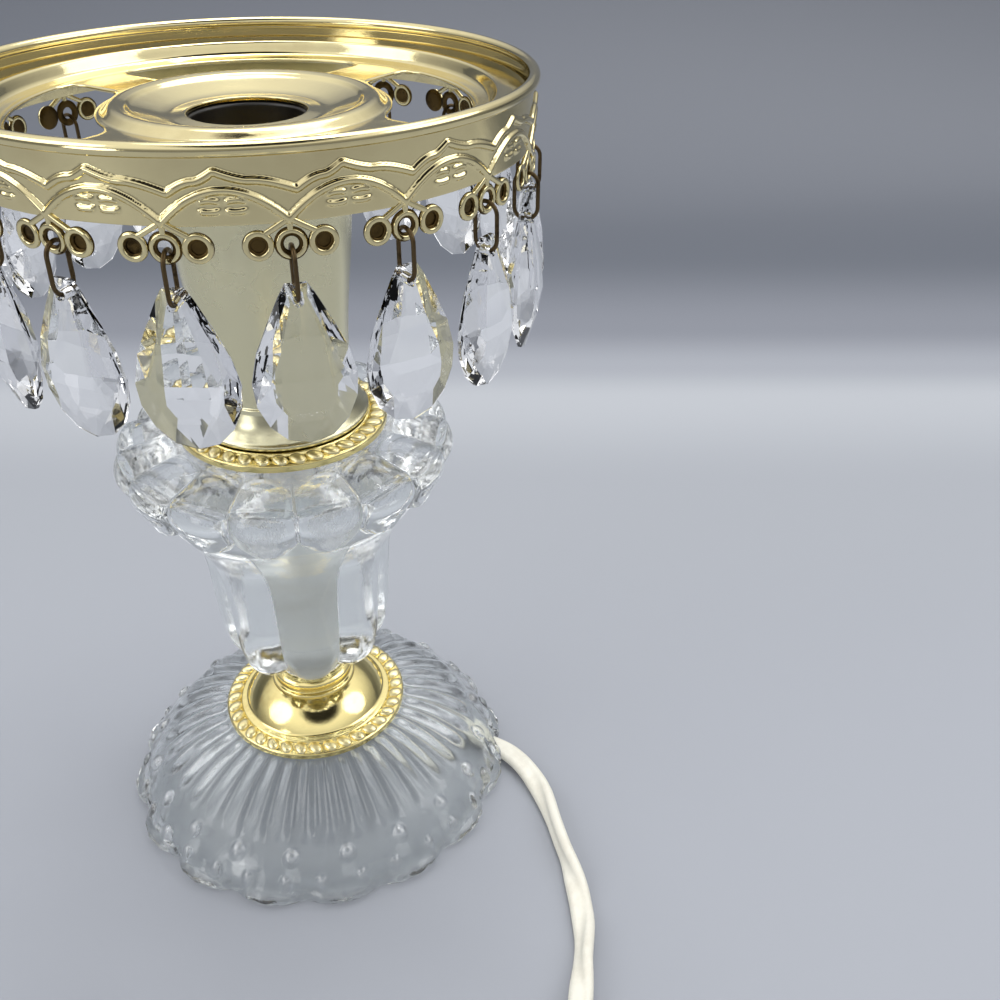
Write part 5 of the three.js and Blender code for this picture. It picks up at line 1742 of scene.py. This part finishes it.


# A level floor, a quarter of a circle and an upright wall, carried sideways as one sheet. Its colour follows
# the distance behind the lamp: a band of painted light, then painted shade darkest where the floor meets the
# wall, and a lighter painted colour where it is seen through glass.
def makeStage():
    a = np.linspace(0, math.pi / 2, 24)
    radius = stageSheet["curveRadius"]
    curve = np.column_stack([stageSheet["curveStart"] + radius * np.sin(a), radius - radius * np.cos(a)])
    line = np.concatenate([[[stageSheet["front"], 0]], curve, [[curve[-1, 0], stageSheet["height"]]]])
    x = np.array([-stageSheet["halfWidth"], stageSheet["halfWidth"]])
    y, z = line[:, :1] + 0 * x, line[:, 1:] + 0 * x - stageSheet["drop"]
    points = np.stack([x[None] + 0 * y, y, z], -1).reshape(-1, 3)
    mesh = makeMesh("floor", points, gridFaces(len(line), 2, False, False))
    material, tree, shader, place = newMaterial("floor_paper")
    distance = addNode(tree, "VectorMath", operation="DOT_PRODUCT")
    tree.links.new(place, distance.inputs[0])
    distance.inputs[1].default_value = stageSheet["away"]
    colour = tint(*stageSheet["paintedShadingColours"][0][1])
    for (near, _), (far, after) in zip(stageSheet["paintedShadingColours"], stageSheet["paintedShadingColours"][1:]):
        colour = mixColour(tree, rangeNode(tree, distance.outputs["Value"], near, far), colour, tint(*after))
    beyond = rangeNode(tree, distance.outputs["Value"], *stageSheet["throughFrom"])
    through = mathNode(tree, "MULTIPLY", beyond, addNode(tree, "LightPath").outputs["Is Transmission Ray"])
    colour = mixColour(tree, through, colour, tint(*stageSheet["throughColour"]))
    tree.links.new(colour, shader.inputs["Base Color"])
    shader.inputs["Roughness"].default_value = 0.7
    shader.inputs["Specular IOR Level"].default_value = 0.1
    sheet = bpy.data.objects.new("floor", mesh)
    mesh.materials.append(material)
    shadeByAngle(mesh, 60)
    bpy.context.scene.collection.objects.link(sheet)


# Lamps: name, place, aim, width, depth and power, in metres and watts. One as wide as it is deep is a disk.
softLamps = [
    ("overhead", (0.15, 0.3, 1.2), (0, 0, 0.1), 1.0, 1.0, 4.6),
    ("left", (-0.95, -0.12, 0.9), (0, 0, 0.12), 0.8, 0.8, 2.8),
    ("right", (0.95, -0.18, 0.9), (0, 0, 0.12), 0.8, 0.8, 2.8),
    ("low_left", (-0.8, -0.6, 0.3), (0, 0, 0.15), 0.35, 0.35, 0.8),
    ("tube_near", (0.1, 0.12, 1.1), (0, 0, 0.1), 0.36, 0.045, 0.9),
    ("tube_far", (0.1, 0.34, 1.05), (0, 0, 0.1), 0.36, 0.045, 0.9),
]


# The room: the world's light by direction, bright above, middling at the sides, and dark in a patch above the
# front, by the cosine of the angle from the patch's middle
room = {
    "sideColour": (116, 118, 123),
    "throughColour": (200, 203, 209),  # of the sides, seen through glass
    "topColour": (252, 253, 255),
    "patchColour": (30, 30, 32),
    "patchMiddle": (0.05, -0.36, 0.932),
    "patchFrom": 0.88,
    "patchTo": 0.955,
    "strength": 1.1,
}


# Sides and top are mixed by how steeply the ray climbs
def makeRoom():
    world = bpy.data.worlds.new("room")
    world.use_nodes = True
    tree = world.node_tree
    sky = tree.nodes["Background"]
    direction = addNode(tree, "TexCoord").outputs["Generated"]
    split = addNode(tree, "SeparateXYZ")
    tree.links.new(direction, split.inputs[0])
    upward = rangeNode(tree, split.outputs["Z"], 0.05, 0.8)
    towards = addNode(tree, "VectorMath", operation="DOT_PRODUCT")
    tree.links.new(direction, towards.inputs[0])
    towards.inputs[1].default_value = room["patchMiddle"]
    patch = rangeNode(tree, towards.outputs["Value"], room["patchFrom"], room["patchTo"])
    patch = mathNode(tree, "MULTIPLY", patch, addNode(tree, "LightPath").outputs["Is Glossy Ray"])
    through = addNode(tree, "LightPath").outputs["Is Transmission Ray"]
    sides = mixColour(tree, through, tint(*room["sideColour"]), tint(*room["throughColour"]))
    walls = mixColour(tree, upward, sides, tint(*room["topColour"]))
    tree.links.new(mixColour(tree, patch, walls, tint(*room["patchColour"])), sky.inputs["Color"])
    sky.inputs["Strength"].default_value = room["strength"]
    bpy.context.scene.world = world


# Soft lamps, each turned so that its back points away from its aim
def makeLamps():
    for name, place, aim, width, depth, power in softLamps:
        data = bpy.data.lights.new(name, "AREA")
        data.shape = "DISK" if width == depth else "RECTANGLE"
        data.size = width
        data.size_y = depth
        data.energy = power
        back = np.array(place) - np.array(aim)
        back = back / np.linalg.norm(back)
        side = np.cross([0, 0, 1], back)
        side = side / np.linalg.norm(side) if np.linalg.norm(side) > 1e-6 else np.array([1.0, 0, 0])
        addPlaced(name, data, (side, np.cross(back, side), back), place)


makeStage()
makeRoom()
makeLamps()
print("stage and lamps set")
